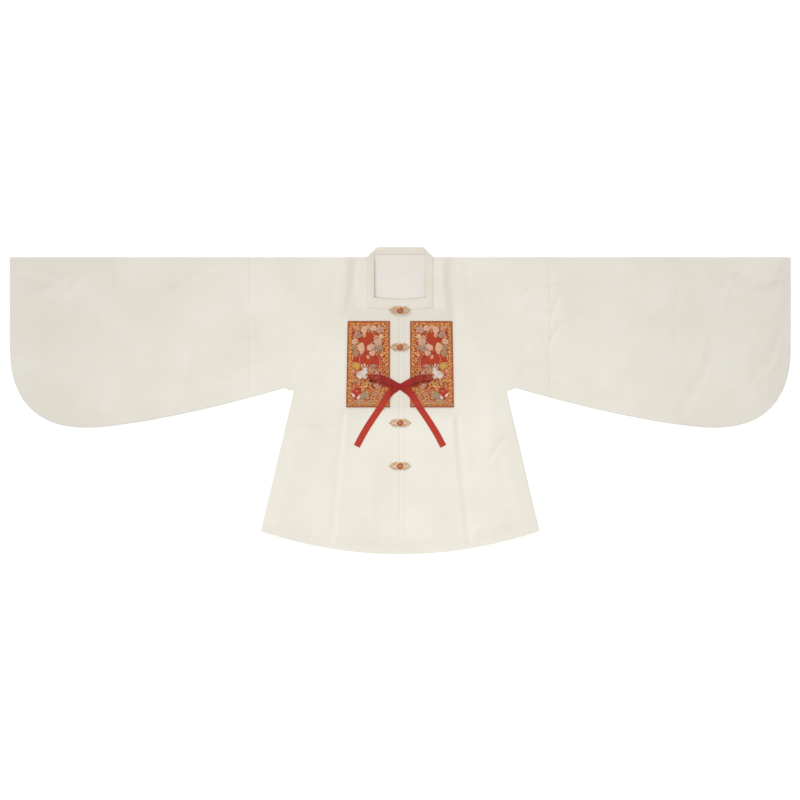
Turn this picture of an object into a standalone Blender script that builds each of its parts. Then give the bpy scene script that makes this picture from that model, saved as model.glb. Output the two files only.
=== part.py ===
"""A hanfu short jacket, laid flat and face up, at its real size in metres.

It has a square collar, a front that opens down the middle, wide sleeves with rounded ends,
two embroidered chest panels, a tied ribbon and four two-part clasps. +X is to the right of
the jacket as it lies, +Y towards the collar and +Z up. Its back rests on z = 0.
"""

import math
from collections import namedtuple

import bmesh
import bpy

# ---- the cut ----------------------------------------------------------------------------
HALF_SPAN = 0.900            # centre to cuff, half of the reach from cuff to cuff
SHOULDER_Y = 0.331           # fold along the top of the body and the sleeves
HEM_Y = -0.3545              # hem at the centre
HEM_CORNER = (0.3215, -0.301)
UNDERARM = (0.2525, 0.0285)
SIDE_SEAM_TOP = (0.2504, 0.001)
SLEEVE_JOIN_X = 0.3465       # seam between body and sleeve
SLEEVE_LOW = (0.715, -0.062)  # lowest point of the sleeve, where its round end starts
SLEEVE_RISE = 0.091          # from there the underside climbs towards the underarm,
SLEEVE_RISE_LENGTH = 0.448   # over this length,
SLEEVE_RISE_POWER = 1.43     # slowly at first
CUFF_LOW_Y = 0.131           # lower end of the cuff's opening
ROUND_END_POWER = 2.5        # the round end is a superellipse

# ---- the collar and the neck opening ----------------------------------------------------
NECK_X = 0.060               # half width of the opening
NECK_FRONT_Y = 0.2326        # its front edge at the centre
NECK_BACK_Y = 0.337
NECK_BOW = 0.0054            # the front edge is this much higher at its corners
BAND_SIDE_X = 0.0775         # outer edge of the side bands
BAND_FRONT_Y = 0.2077        # outer edge of the front bands at the centre
BAND_TOP = (0.053, 0.3545)   # upper corner of the back band
BAND_SHOULDER = (0.0785, 0.3295)
BACK_MITRE_SHARE = 0.48       # of the way from the shoulder to the top, where two bands meet
NECK_CUT = (0.068, 0.220)    # raw neck edge of the body, hidden under the bands

# ---- thicknesses and gaps ---------------------------------------------------------------
WALL = 0.0012                # cloth
LAYER_GAP = 0.0005           # between the front and the back where they are pressed flat
LOFT = 0.0018                # how much higher the front stands away from the edges
EDGE_FADE = 0.045            # width along the edges in which it comes down
SEAM = 0.0003                # between pieces
COLLAR_WALL = 0.0020
PANEL_WALL = 0.0012
RIBBON_WALL = 0.0008
BAND_BACK_HEIGHT = 0.0030
FRONT_TOP = 2 * WALL + LAYER_GAP
ROLL = FRONT_TOP / 2         # radius of the folds and seams at the edges

# ---- trims ------------------------------------------------------------------------------
PANEL_INNER_X = 0.024
PANEL_OUTER_X = (0.1235, 0.120)  # at the lower and the upper edge
PANEL_Y = (-0.015, 0.1825)
KNOT = (0.0, 0.032)
KNOT_HALF = (0.0120, 0.0080)
KNOT_HEIGHT = 0.0048
KNOT_RINGS = ((1.0, 0.0), (1.0, 0.45), (0.82, 0.85), (0.45, 1.0))  # share of width, of height
KNOT_CORNERS = 16
KNOT_SQUARENESS = 0.7        # 1 is an ellipse, less is squarer
LOOP_START = (0.0140, 0.0362)
LOOP_END = (0.0690, 0.0512)
LOOP_HALF_WIDTHS = (0.0062, 0.0088, 0.0096, 0.0092)  # from the knot outwards
LOOP_TURN_ANGLES = (45, 0, -45)
LOOP_GAP = 0.0006
TAIL_START_HALF_WIDTH = 0.0060
TAIL_HALF_WIDTH = 0.0075
TAIL_ROUTE = (               # on the right, from the knot to the free end
    (0.0115, 0.0240),
    (0.0258, 0.0145),
    (0.0351, 0.0004),
    (0.0461, -0.0173),
    (0.0591, -0.0363),
    (0.0725, -0.0568),
    (0.0857, -0.0787),
    (0.0998, -0.1055),
)
TAIL_POINTS_ON_PANEL = 4

Fold = namedtuple("Fold", "x0 y0 x1 y1 half_width height")
FOLDS = (
    # troughs from the shoulder down to the upper corners of the panels
    Fold(-0.106, 0.331, -0.112, 0.262, 0.016, -0.0012),
    Fold(-0.112, 0.262, -0.128, 0.190, 0.018, -0.0010),
    Fold(0.106, 0.331, 0.113, 0.258, 0.016, -0.0012),
    Fold(0.113, 0.258, 0.129, 0.186, 0.018, -0.0010),
    # flares from the lower corners of the panels to the hem
    Fold(-0.131, -0.030, -0.139, -0.142, 0.013, -0.0012),
    Fold(-0.139, -0.142, -0.162, -0.354, 0.016, -0.0012),
    Fold(0.131, -0.036, 0.141, -0.150, 0.013, -0.0012),
    Fold(0.141, -0.150, 0.164, -0.354, 0.016, -0.0012),
    # soft rolls beside the underarms and across the sleeves
    Fold(-0.196, 0.060, -0.205, -0.120, 0.030, 0.0009),
    Fold(0.200, 0.050, 0.212, -0.130, 0.030, 0.0009),
    Fold(-0.470, 0.020, -0.560, 0.180, 0.036, 0.0008),
    Fold(0.480, 0.030, 0.580, 0.190, 0.036, 0.0008),
    # creases that start at the cuffs
    Fold(-0.900, 0.215, -0.852, 0.090, 0.016, -0.0011),
    Fold(-0.860, 0.235, -0.740, 0.290, 0.022, -0.0009),
    Fold(0.900, 0.210, 0.850, 0.085, 0.016, -0.0011),
    Fold(0.855, 0.240, 0.735, 0.285, 0.022, -0.0009),
)

Clasp = namedtuple("Clasp", "name y half_width on_collar")
CLASPS = (
    Clasp("clasp_1", 0.2077, 0.0250, True),
    Clasp("clasp_2", 0.1230, 0.0228, False),
    Clasp("clasp_3", -0.0515, 0.0250, False),
    Clasp("clasp_4", -0.1510, 0.0250, False),
)
CLASP_WALL = 0.0012
CLASP_HALF_HEIGHT = 0.0095
CLASP_SCALLOP = 0.14         # depth of the lobes, as a share of the radius
CLASP_LOBES = 5
CLASP_POINTS = 20
BEAD_PROFILE = (             # radius and height of the turned bead with its rim
    (0.0095, 0.0000),
    (0.0095, 0.0010),
    (0.0068, 0.0014),
    (0.0062, 0.0030),
    (0.0042, 0.0046),
)
BEAD_TOP = 0.0052
BEAD_SIDES = 14

# ---- sections: where the cloth has its columns and rows ---------------------------------
BODY_COLUMNS = (0.0002, 0.024, 0.046, NECK_CUT[0], 0.094, 0.118, 0.142, 0.168, 0.196, 0.224, UNDERARM[0])
ARM_COLUMNS = (0.270, 0.295, 0.320, SLEEVE_JOIN_X - SEAM / 2)
HEM_STEPS = 8
FRONT_BAND_STEPS = 3
PANEL_GRID = (4, 6)            # cells across and along
SKIRT_SHARES = (1.0, 0.90, 0.79, 0.67, 0.54, 0.41, 0.28, 0.16, 0.06)  # of the way to the hem
NECK_ROWS = (0.250, 0.286, 0.308)
CHEST_ROWS = (UNDERARM[1], 0.070, 0.110, 0.150, 0.186, NECK_CUT[1], *NECK_ROWS, SHOULDER_Y)
SLEEVE_COLUMNS = (SLEEVE_JOIN_X + SEAM / 2, 0.400, 0.450, 0.505, 0.560, 0.615, 0.665, SLEEVE_LOW[0])
ROUND_END_ANGLES = (22.0, 40.0, 56.0, 72.0, 90.0)
SLEEVE_SHARES = (0.0, 0.10, 0.22, 0.35, 0.48, 0.61, 0.74, 0.87, 1.0)


def clear_scene():
    for item in list(bpy.data.objects):
        bpy.data.objects.remove(item, do_unlink=True)


def make_material(name, color, roughness, metallic=0.0):
    material = bpy.data.materials.new(name)
    material.use_nodes = True
    shader = material.node_tree.nodes["Principled BSDF"]
    shader.inputs["Base Color"].default_value = (*color, 1.0)
    shader.inputs["Roughness"].default_value = roughness
    shader.inputs["Metallic"].default_value = metallic
    return material


def ivory_cloth(name):
    return make_material(name + "_cloth", (0.80, 0.77, 0.68), 0.78)


def red_ribbon(name):
    return make_material(name + "_satin", (0.52, 0.06, 0.05), 0.45)


def embroidery(name):
    return make_material(name + "_thread", (0.55, 0.16, 0.07), 0.70)


def gilt(name):
    return make_material(name + "_gilt", (0.75, 0.56, 0.36), 0.35, 1.0)


def red_bead(name):
    return make_material(name + "_bead", (0.58, 0.13, 0.07), 0.20)


def add_object(name, mesh_builder, material):
    mesh = bpy.data.meshes.new(name)
    mesh_builder.to_mesh(mesh)
    mesh_builder.free()
    mesh.materials.append(material)
    item = bpy.data.objects.new(name, mesh)
    bpy.context.scene.collection.objects.link(item)
    return item


def give_wall(item, thickness):
    """Thickens a sheet inwards from its outer face."""
    wall = item.modifiers.new("wall", "SOLIDIFY")
    wall.thickness = thickness
    wall.offset = -1.0
    wall.use_even_offset = True
    wall.use_quality_normals = True


def blend(start, end, share):
    return start + (end - start) * share


def smooth(share):
    share = min(max(share, 0.0), 1.0)
    return share * share * (3.0 - 2.0 * share)


# ---- the outline ------------------------------------------------------------------------
def side_seam_x(y):
    slope = (HEM_CORNER[0] - SIDE_SEAM_TOP[0]) / (SIDE_SEAM_TOP[1] - HEM_CORNER[1])
    return SIDE_SEAM_TOP[0] + slope * (SIDE_SEAM_TOP[1] - y)


def underside_y(x):
    """Lower edge of the sleeve between the underarm and the sleeve's lowest point."""
    share = max(SLEEVE_LOW[0] - x, 0.0) / SLEEVE_RISE_LENGTH
    return min(SLEEVE_LOW[1] + SLEEVE_RISE * share ** SLEEVE_RISE_POWER, UNDERARM[1])


def round_end_point(angle_deg):
    """Point on the sleeve's round end, from its lowest point at 0 to the cuff at 90 degrees."""
    angle = math.radians(angle_deg)
    power = 2.0 / ROUND_END_POWER
    reach = HALF_SPAN - SLEEVE_LOW[0]
    depth = CUFF_LOW_Y - SLEEVE_LOW[1]
    x = SLEEVE_LOW[0] + reach * math.sin(angle) ** power
    y = CUFF_LOW_Y - depth * max(math.cos(angle), 0.0) ** power
    return x, y


def skirt_edge(share):
    """Point on the side seam, at a share of the way from the underarm to the hem."""
    if share == 0.0:
        return UNDERARM
    y = blend(UNDERARM[1], HEM_CORNER[1], share)
    return side_seam_x(y), y


def half_outline():
    """The right half's outline, from the hem's centre round to the shoulder fold."""
    points = []
    for step in range(HEM_STEPS + 1):
        across = step / HEM_STEPS
        points.append((HEM_CORNER[0] * across, blend(HEM_Y, HEM_CORNER[1], across ** 2)))
    points += [skirt_edge(share) for share in SKIRT_SHARES[1:]] + [UNDERARM]
    points += [(x, underside_y(x)) for x in ARM_COLUMNS + SLEEVE_COLUMNS[1:]]
    points += [round_end_point(angle) for angle in ROUND_END_ANGLES]
    points += [(HALF_SPAN, SHOULDER_Y), (0.0, SHOULDER_Y)]
    return points


def distance_to_line(x, y, x0, y0, x1, y1):
    """Distance from a point to a stretch."""
    run_x, run_y = x1 - x0, y1 - y0
    share = ((x - x0) * run_x + (y - y0) * run_y) / (run_x ** 2 + run_y ** 2)
    share = min(max(share, 0.0), 1.0)
    return math.hypot(x - x0 - run_x * share, y - y0 - run_y * share)


OUTLINE = half_outline()


def front_lift(x, y):
    """How far the front's outer face stands above FRONT_TOP."""
    edge = min(
        distance_to_line(abs(x), y, *start, *end)
        for start, end in zip(OUTLINE, OUTLINE[1:])
    )
    height = LOFT
    for fold in FOLDS:
        distance = distance_to_line(x, y, fold.x0, fold.y0, fold.x1, fold.y1)
        height += fold.height * smooth(1.0 - distance / fold.half_width)
    return height * smooth(edge / EDGE_FADE)


def cloth_top(x, y):
    return FRONT_TOP + front_lift(x, y)


# ---- the folded pieces: body and sleeves ------------------------------------------------
def body_plan():
    """Places of the body's columns and rows, the right half, keyed by (column, row)."""
    plan = {}
    last = len(BODY_COLUMNS) - 1
    columns = BODY_COLUMNS + ARM_COLUMNS
    skirt_rows = len(SKIRT_SHARES)
    for row, share in enumerate(SKIRT_SHARES):
        centre_y = blend(UNDERARM[1], HEM_Y, share)
        edge_x, edge_y = skirt_edge(share)
        for column, x in enumerate(BODY_COLUMNS):
            across = x / UNDERARM[0]
            spread = x if column == 0 else edge_x * across
            plan[column, row] = (spread, blend(centre_y, edge_y, across ** 2))
    for row, y in enumerate(CHEST_ROWS, start=skirt_rows):
        up = (y - UNDERARM[1]) / (SHOULDER_Y - UNDERARM[1])
        for column, x in enumerate(columns):
            if x < NECK_CUT[0] and y > NECK_CUT[1]:
                continue
            low = UNDERARM[1] if column <= last else underside_y(x)
            plan[column, row] = (x, blend(low, SHOULDER_Y, up))
    return plan


def sleeve_plan():
    """Places of the right sleeve's columns and rows, keyed by (column, row)."""
    bottoms = [(x, underside_y(x)) for x in SLEEVE_COLUMNS]
    bottoms += [round_end_point(angle) for angle in ROUND_END_ANGLES]
    plan = {}
    for column, (x, low) in enumerate(bottoms):
        for row, share in enumerate(SLEEVE_SHARES):
            plan[column, row] = (x, blend(low, SHOULDER_Y, share))
    return plan


def inward_normals(line):
    """Unit normals to the left of a line of points, which is the side the cloth is on."""
    normals = []
    for index in range(len(line)):
        before = line[max(index - 1, 0)]
        after = line[min(index + 1, len(line) - 1)]
        run_x, run_y = after[0] - before[0], after[1] - before[1]
        length = math.hypot(run_x, run_y)
        normals.append((-run_y / length, run_x / length))
    return normals


def folded_cloth(name, plan, turns, back_open, side):
    """A front layer over a back layer, joined along the lines of keys in turns.

    The turns run round the piece with the cloth on their left. back_open lists, for each
    turn, the points of the back's edge that come before it. side mirrors the piece.
    """
    sheet = bmesh.new()
    front, middle, back = {}, {}, {}
    for turn in turns:
        line = [plan[key] for key in turn]
        for key, (x, y), (nx, ny) in zip(turn, line, inward_normals(line)):
            inner = (side * (x + nx * ROLL), y + ny * ROLL)
            front[key] = sheet.verts.new((*inner, FRONT_TOP))
            middle[key] = sheet.verts.new((side * x, y, ROLL))
            back[key] = sheet.verts.new((*inner, 0.0))
    for key, (x, y) in plan.items():
        if key not in front:
            front[key] = sheet.verts.new((side * x, y, cloth_top(side * x, y)))

    def add_face(corners):
        sheet.faces.new(corners if side > 0 else corners[::-1])

    for column, row in plan:
        keys = [(column, row), (column + 1, row), (column + 1, row + 1), (column, row + 1)]
        if all(key in plan for key in keys):
            add_face([front[key] for key in keys])
    for turn in turns:
        for here, there in zip(turn, turn[1:]):
            add_face([front[there], front[here], middle[here], middle[there]])
            add_face([middle[there], middle[here], back[here], back[there]])
    ring = []
    for turn, open_points in zip(turns, back_open):
        ring += [sheet.verts.new((side * x, y, 0.0)) for x, y in open_points]
        ring += [back[key] for key in turn]
    add_face(ring[::-1])
    item = add_object(name, sheet, ivory_cloth(name))
    give_wall(item, WALL)
    return item


def build_body(name, side):
    plan = body_plan()
    edge = len(BODY_COLUMNS) - 1
    arm = edge + len(ARM_COLUMNS)
    armpit = len(SKIRT_SHARES)
    top = armpit + len(CHEST_ROWS) - 1
    neck = BODY_COLUMNS.index(NECK_CUT[0])
    side_turn = [(edge, row) for row in range(armpit + 1)]
    side_turn += [(column, armpit) for column in range(edge + 1, arm + 1)]
    shoulder_turn = [(column, top) for column in range(arm, neck - 1, -1)]
    centre_x = BODY_COLUMNS[0]
    back_neck = [(NECK_X, NECK_BACK_Y - SEAM), (centre_x, NECK_BACK_Y - SEAM)]
    hem = [plan[column, 0] for column in range(edge)]
    folded_cloth(name, plan, [side_turn, shoulder_turn], [back_neck + hem, []], side)


def build_sleeve(name, side):
    plan = sleeve_plan()
    cuff = len(SLEEVE_COLUMNS) + len(ROUND_END_ANGLES) - 1
    top = len(SLEEVE_SHARES) - 1
    seam_turn = [(column, 0) for column in range(cuff + 1)]
    shoulder_turn = [(column, top) for column in range(cuff, -1, -1)]
    folded_cloth(name, plan, [seam_turn, shoulder_turn], [[], []], side)


# ---- strips: collar bands and ribbon ----------------------------------------------------
def lofted_strip(name, sections, material):
    """A closed solid through sections of four corners each."""
    strip = bmesh.new()
    rings = [[strip.verts.new(corner) for corner in section] for section in sections]
    for ring, following in zip(rings, rings[1:]):
        for index in range(4):
            ahead = (index + 1) % 4
            strip.faces.new((ring[index], ring[ahead], following[ahead], following[index]))
    strip.faces.new(rings[0][::-1])
    strip.faces.new(rings[-1])
    bmesh.ops.recalc_face_normals(strip, faces=strip.faces)
    return add_object(name, strip, material)


def band_section(inner, outer, bottom, side):
    low = [(side * x, y, bottom) for x, y in (inner, outer)]
    high = [(side * x, y, bottom + COLLAR_WALL) for x, y in (outer, inner)]
    return low + high


def build_collar_side(name, side):
    """From the mitre with the front band, over the shoulder, to the mitre with the back band."""
    rest = cloth_top(BAND_SIDE_X, NECK_ROWS[0]) + SEAM
    mitre_shift = 2 * SEAM
    low_y = NECK_FRONT_Y + NECK_BOW + mitre_shift
    sections = [band_section((NECK_X, low_y), (BAND_SIDE_X, low_y - corner_drop()), rest, side)]
    for y in NECK_ROWS[1:]:
        bottom = cloth_top(BAND_SIDE_X, y) + SEAM
        sections.append(band_section((NECK_X, y), (BAND_SIDE_X, y), bottom, side))
    shoulder_x, shoulder_y = BAND_SHOULDER
    bottom = FRONT_TOP + SEAM
    sections.append(band_section((NECK_X, shoulder_y), (shoulder_x, shoulder_y), bottom, side))
    inner, outer = back_mitre()
    inner = (inner[0] + mitre_shift, inner[1])
    outer = (outer[0] + mitre_shift, outer[1])
    sections.append(band_section(inner, outer, WALL + SEAM, side))
    lofted_strip(name, sections, ivory_cloth(name))


def corner_drop():
    """How far the front band's lower corner lies below its upper one."""
    return NECK_FRONT_Y - BAND_FRONT_Y


def back_mitre():
    """Ends of the mitre between a side band and the back band, on the right."""
    middle = [blend(BAND_SHOULDER[axis], BAND_TOP[axis], BACK_MITRE_SHARE) for axis in (0, 1)]
    return (NECK_X, NECK_BACK_Y), (middle[0], middle[1])


def build_collar_front(name, side):
    rest = cloth_top(NECK_CUT[0], BAND_FRONT_Y) + SEAM
    sections = []
    for step in range(FRONT_BAND_STEPS + 1):
        share = step / FRONT_BAND_STEPS
        bow = NECK_BOW * share ** 2
        centre_x = BODY_COLUMNS[0]
        inner = (blend(centre_x, NECK_X, share), NECK_FRONT_Y + bow)
        outer = (blend(centre_x, BAND_SIDE_X, share), BAND_FRONT_Y + bow)
        sections.append(band_section(inner, outer, rest, side))
    lofted_strip(name, sections, ivory_cloth(name))


def build_collar_back(name):
    inner, outer = back_mitre()
    half = [inner, outer, BAND_TOP]
    ring = [(x, y) for x, y in half] + [(-x, y) for x, y in half[::-1]]
    plate = bmesh.new()
    base = plate.faces.new([plate.verts.new((x, y, 0.0)) for x, y in ring])
    grown = bmesh.ops.extrude_face_region(plate, geom=[base])["geom"]
    raised = [part for part in grown if isinstance(part, bmesh.types.BMVert)]
    bmesh.ops.translate(plate, verts=raised, vec=(0.0, 0.0, BAND_BACK_HEIGHT))
    bmesh.ops.recalc_face_normals(plate, faces=plate.faces)
    add_object(name, plate, ivory_cloth(name))


def build_panel(name, side):
    """An embroidered panel, laid on the front."""
    across, along = PANEL_GRID
    sheet = bmesh.new()
    grid = {}
    for row in range(along + 1):
        up = row / along
        outer_x = blend(*PANEL_OUTER_X, up)
        y = blend(*PANEL_Y, up)
        for column in range(across + 1):
            x = side * blend(PANEL_INNER_X, outer_x, column / across)
            grid[column, row] = sheet.verts.new((x, y, cloth_top(x, y) + SEAM + PANEL_WALL))
    for column in range(across):
        for row in range(along):
            keys = [(column, row), (column + 1, row), (column + 1, row + 1), (column, row + 1)]
            corners = [grid[key] for key in keys]
            sheet.faces.new(corners if side > 0 else corners[::-1])
    item = add_object(name, sheet, embroidery(name))
    give_wall(item, PANEL_WALL)


def ribbon_section(place, across, half_width, normal):
    corners = []
    for along_width, along_wall in ((-1, -1), (1, -1), (1, 1), (-1, 1)):
        corners.append(tuple(
            place[axis]
            + along_width * half_width * across[axis]
            + along_wall * RIBBON_WALL / 2 * normal[axis]
            for axis in range(3)
        ))
    return corners


def build_ribbon_loop(name, side):
    """A ribbon that runs out from the knot, turns over at its end and comes back on top."""
    run = (LOOP_END[0] - LOOP_START[0], LOOP_END[1] - LOOP_START[1])
    length = math.hypot(*run)
    along = (run[0] / length, run[1] / length)
    across = (-side * along[1], along[0], 0.0)
    low = ribbon_rest(*LOOP_START) + RIBBON_WALL / 2
    radius = (RIBBON_WALL + LOOP_GAP) / 2
    step_length = length / (len(LOOP_HALF_WIDTHS) - 1)
    stations = [(step_length * step, low, half, 90) for step, half in enumerate(LOOP_HALF_WIDTHS)]
    for angle in LOOP_TURN_ANGLES:
        turn = math.radians(angle)
        reach = length + radius * math.cos(turn)
        stations.append((reach, low + radius - radius * math.sin(turn), LOOP_HALF_WIDTHS[-1], angle))
    for step, half in reversed(tuple(enumerate(LOOP_HALF_WIDTHS))):
        stations.append((step_length * step, low + 2 * radius, half, -90))
    sections = []
    for reach, height, half, angle in stations:
        place = (side * (LOOP_START[0] + along[0] * reach), LOOP_START[1] + along[1] * reach, height)
        out = math.cos(math.radians(angle))
        down = math.sin(math.radians(angle))
        normal = (side * along[0] * out, along[1] * out, -down)
        sections.append(ribbon_section(place, across, half, normal))
    lofted_strip(name, sections, red_ribbon(name))


def ribbon_rest(x, y):
    """Height of what the ribbon lies on, with a seam's gap."""
    return cloth_top(x, y) + 2 * SEAM + PANEL_WALL


def build_ribbon_tail(name, side):
    """A tail from the knot, across the panel's lower corner and down on to the front."""
    sections = []
    for index, ((x, y), (nx, ny)) in enumerate(zip(TAIL_ROUTE, inward_normals(TAIL_ROUTE))):
        on_panel = index < TAIL_POINTS_ON_PANEL
        bottom = ribbon_rest(x, y) if on_panel else cloth_top(x, y) + SEAM
        half = TAIL_START_HALF_WIDTH if index == 0 else TAIL_HALF_WIDTH
        place = (side * x, y, bottom + RIBBON_WALL / 2)
        sections.append(ribbon_section(place, (side * nx, ny, 0.0), half, (0.0, 0.0, 1.0)))
    lofted_strip(name, sections, red_ribbon(name))


def build_knot(name):
    """The wrapped knot, a low cushion between the panels."""
    base = cloth_top(*KNOT) + SEAM
    cushion = bmesh.new()
    loops = []
    for share, rise in KNOT_RINGS:
        ring = []
        for index in range(KNOT_CORNERS):
            angle = 2 * math.pi * index / KNOT_CORNERS
            cosine, sine = math.cos(angle), math.sin(angle)
            across = math.copysign(abs(cosine) ** KNOT_SQUARENESS, cosine)
            along = math.copysign(abs(sine) ** KNOT_SQUARENESS, sine)
            x = KNOT[0] + KNOT_HALF[0] * share * across
            y = KNOT[1] + KNOT_HALF[1] * share * along
            ring.append(cushion.verts.new((x, y, base + KNOT_HEIGHT * rise)))
        loops.append(ring)
    for ring, above in zip(loops, loops[1:]):
        for index in range(KNOT_CORNERS):
            ahead = (index + 1) % KNOT_CORNERS
            cushion.faces.new((ring[index], ring[ahead], above[ahead], above[index]))
    cushion.faces.new(loops[0][::-1])
    cushion.faces.new(loops[-1])
    add_object(name, cushion, red_ribbon(name))


# ---- clasps -----------------------------------------------------------------------------
def build_clasp(clasp):
    """Two lobed plates that meet at the centre, and the bead that holds them together."""
    base = cloth_top(0.0, min(clasp.y, BAND_FRONT_Y)) + SEAM
    if clasp.on_collar:
        base += COLLAR_WALL + SEAM
    for word, side in (("left", -1), ("right", 1)):
        name = f"{clasp.name}_{word}"
        build_clasp_plate(name, clasp, side, base)
    build_bead(clasp.name + "_bead", clasp.y, base + CLASP_WALL + SEAM)


def build_clasp_plate(name, clasp, side, base):
    centre_x = (clasp.half_width + SEAM) / 2
    half_length = (clasp.half_width - SEAM) / 2
    plate = bmesh.new()
    ring = []
    for index in range(CLASP_POINTS):
        angle = 2 * math.pi * index / CLASP_POINTS
        reach = 1.0 - CLASP_SCALLOP * (1.0 - math.cos(CLASP_LOBES * angle)) / 2
        x = side * (centre_x + half_length * reach * math.cos(angle))
        y = clasp.y + CLASP_HALF_HEIGHT * reach * math.sin(angle)
        ring.append(plate.verts.new((x, y, base)))
    bottom = plate.faces.new(ring)
    grown = bmesh.ops.extrude_face_region(plate, geom=[bottom])["geom"]
    raised = [part for part in grown if isinstance(part, bmesh.types.BMVert)]
    bmesh.ops.translate(plate, verts=raised, vec=(0.0, 0.0, CLASP_WALL))
    bmesh.ops.recalc_face_normals(plate, faces=plate.faces)
    add_object(name, plate, gilt(name))


def build_bead(name, centre_y, base):
    turned = bmesh.new()
    rings = []
    for radius, height in BEAD_PROFILE:
        ring = []
        for index in range(BEAD_SIDES):
            angle = 2 * math.pi * index / BEAD_SIDES
            place = (radius * math.cos(angle), centre_y + radius * math.sin(angle), base + height)
            ring.append(turned.verts.new(place))
        rings.append(ring)
    top = turned.verts.new((0.0, centre_y, base + BEAD_TOP))
    for index in range(BEAD_SIDES):
        ahead = (index + 1) % BEAD_SIDES
        for ring, above in zip(rings, rings[1:]):
            turned.faces.new((ring[index], ring[ahead], above[ahead], above[index]))
        turned.faces.new((rings[-1][index], rings[-1][ahead], top))
    turned.faces.new(rings[0][::-1])
    add_object(name, turned, red_bead(name))


def main():
    clear_scene()
    for word, side in (("left", -1), ("right", 1)):
        build_body("body_" + word, side)
        build_sleeve("sleeve_" + word, side)
        build_collar_side("collar_side_" + word, side)
        build_collar_front("collar_front_" + word, side)
        build_panel("panel_" + word, side)
        build_ribbon_loop("ribbon_loop_" + word, side)
        build_ribbon_tail("ribbon_tail_" + word, side)
    build_collar_back("collar_back")
    build_knot("ribbon_knot")
    for clasp in CLASPS:
        build_clasp(clasp)


main()
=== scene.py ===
"""The looks of a hanfu short jacket that lies flat, face up: cloth, embroidery, ribbon and clasps."""
import math
import random
from collections import namedtuple

import bmesh
import bpy
import numpy as np
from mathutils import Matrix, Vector


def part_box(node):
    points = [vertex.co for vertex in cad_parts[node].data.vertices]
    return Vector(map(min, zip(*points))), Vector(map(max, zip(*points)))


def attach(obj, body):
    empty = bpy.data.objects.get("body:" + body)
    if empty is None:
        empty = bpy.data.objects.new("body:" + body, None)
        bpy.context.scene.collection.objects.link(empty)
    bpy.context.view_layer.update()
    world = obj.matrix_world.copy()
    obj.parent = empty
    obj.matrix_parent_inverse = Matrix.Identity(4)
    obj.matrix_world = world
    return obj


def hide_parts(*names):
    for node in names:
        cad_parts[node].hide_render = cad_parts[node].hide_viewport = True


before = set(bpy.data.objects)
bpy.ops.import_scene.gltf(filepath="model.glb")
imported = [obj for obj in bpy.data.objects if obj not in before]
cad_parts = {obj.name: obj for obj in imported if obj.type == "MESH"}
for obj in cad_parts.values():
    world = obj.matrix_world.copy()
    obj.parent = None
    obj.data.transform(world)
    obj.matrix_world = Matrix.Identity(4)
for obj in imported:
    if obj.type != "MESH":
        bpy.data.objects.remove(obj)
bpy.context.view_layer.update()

MM = 0.001

# ---- sizes read from the frame -----------------------------------------------------------
SEAM = 0.3 * MM
WALL = 1.2 * MM
SLEEVE_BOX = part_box("sleeve_right")
BODY_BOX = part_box("body_right")
PANEL_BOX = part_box("panel_right")
HALF_SPAN = SLEEVE_BOX[1].x
SHOULDER_Y = SLEEVE_BOX[1].y
SLEEVE_JOIN_X = SLEEVE_BOX[0].x - SEAM / 2
SLEEVE_LOW = (0.715, SLEEVE_BOX[0].y)
HEM_Y = BODY_BOX[0].y
PANEL_INNER_X = PANEL_BOX[0].x
PANEL_Y = (PANEL_BOX[0].y, PANEL_BOX[1].y)

# ---- the cut, which the frame's boxes don't give -----------------------------------------
HEM_CORNER = (0.3215, -0.301)
UNDERARM = (0.2525, 0.0285)
SIDE_SEAM_TOP = (0.2504, 0.001)
SLEEVE_RISE = 0.091
SLEEVE_RISE_LENGTH = 0.448
SLEEVE_RISE_POWER = 1.43
CUFF_LOW_Y = 0.131
ROUND_END_POWER = 2.5
NECK_X = 0.060
NECK_FRONT_Y = 0.2326
NECK_BACK_Y = 0.337
NECK_BOW = 0.0054
BAND_SIDE_X = 0.0775
BAND_FRONT_Y = 0.2077
BAND_TOP = (0.053, 0.3545)
BAND_SHOULDER = (0.0785, 0.3295)
NECK_CUT = (0.068, 0.220)
CENTRE_X = 0.00004           # the two front edges stand this far from the middle
LAYER_GAP = 0.5 * MM
LOFT = 1.8 * MM
EDGE_FADE = 0.045
FRONT_TOP = 2 * WALL + LAYER_GAP
ROLL = FRONT_TOP / 2
JOIN_GAP = 0.04 * MM
COLLAR_WALL = 1.0 * MM
PANEL_WALL = 1.2 * MM
BAND_BACK_HEIGHT = 2.1 * MM
PANEL_OUTER_X = (0.1235, 0.120)


def in_metres(kind, *rows):
    """Rows of millimetres as tuples of a kind, in metres."""
    return [kind(*(value / 1000 for value in row)) for row in rows]


Station = namedtuple("Station", "x y lift half_width")   # lift is above what the ribbon lies on
RIBBON = in_metres(          # on the right for the bow's loop, then over to the left for the tail
    Station,
    (7, 31.2, 0.4, 6.2), (19, 34.6, 0.5, 7.8), (31, 39.2, 0.6, 7.8), (46, 45, 0.7, 7.4), (61, 47.8, 0.9, 7),
    (69.5, 49, 1.7, 6.6), (71.5, 50.8, 2.9, 6.4), (62, 53.2, 3.6, 6.8), (47.5, 51.8, 3.4, 7.2),
    (32.5, 47.2, 3, 7.2), (20, 41.8, 2.8, 6.8), (10, 36.8, 2.9, 6.2), (0, 31.9, 2.8, 6),
    (-11.5, 25.2, 1.8, 7.2), (-24.5, 15.8, 0.9, 7.9), (-35.1, 0.4, 0.5, 7.6), (-46.1, -17.3, 0.4, 7.5),
    (-59.1, -36.3, 0.5, 7.5), (-72.5, -56.8, 0.4, 7.5), (-85.7, -78.7, 0.6, 7.5), (-99.8, -105.5, 0.5, 7.5),
)
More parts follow.
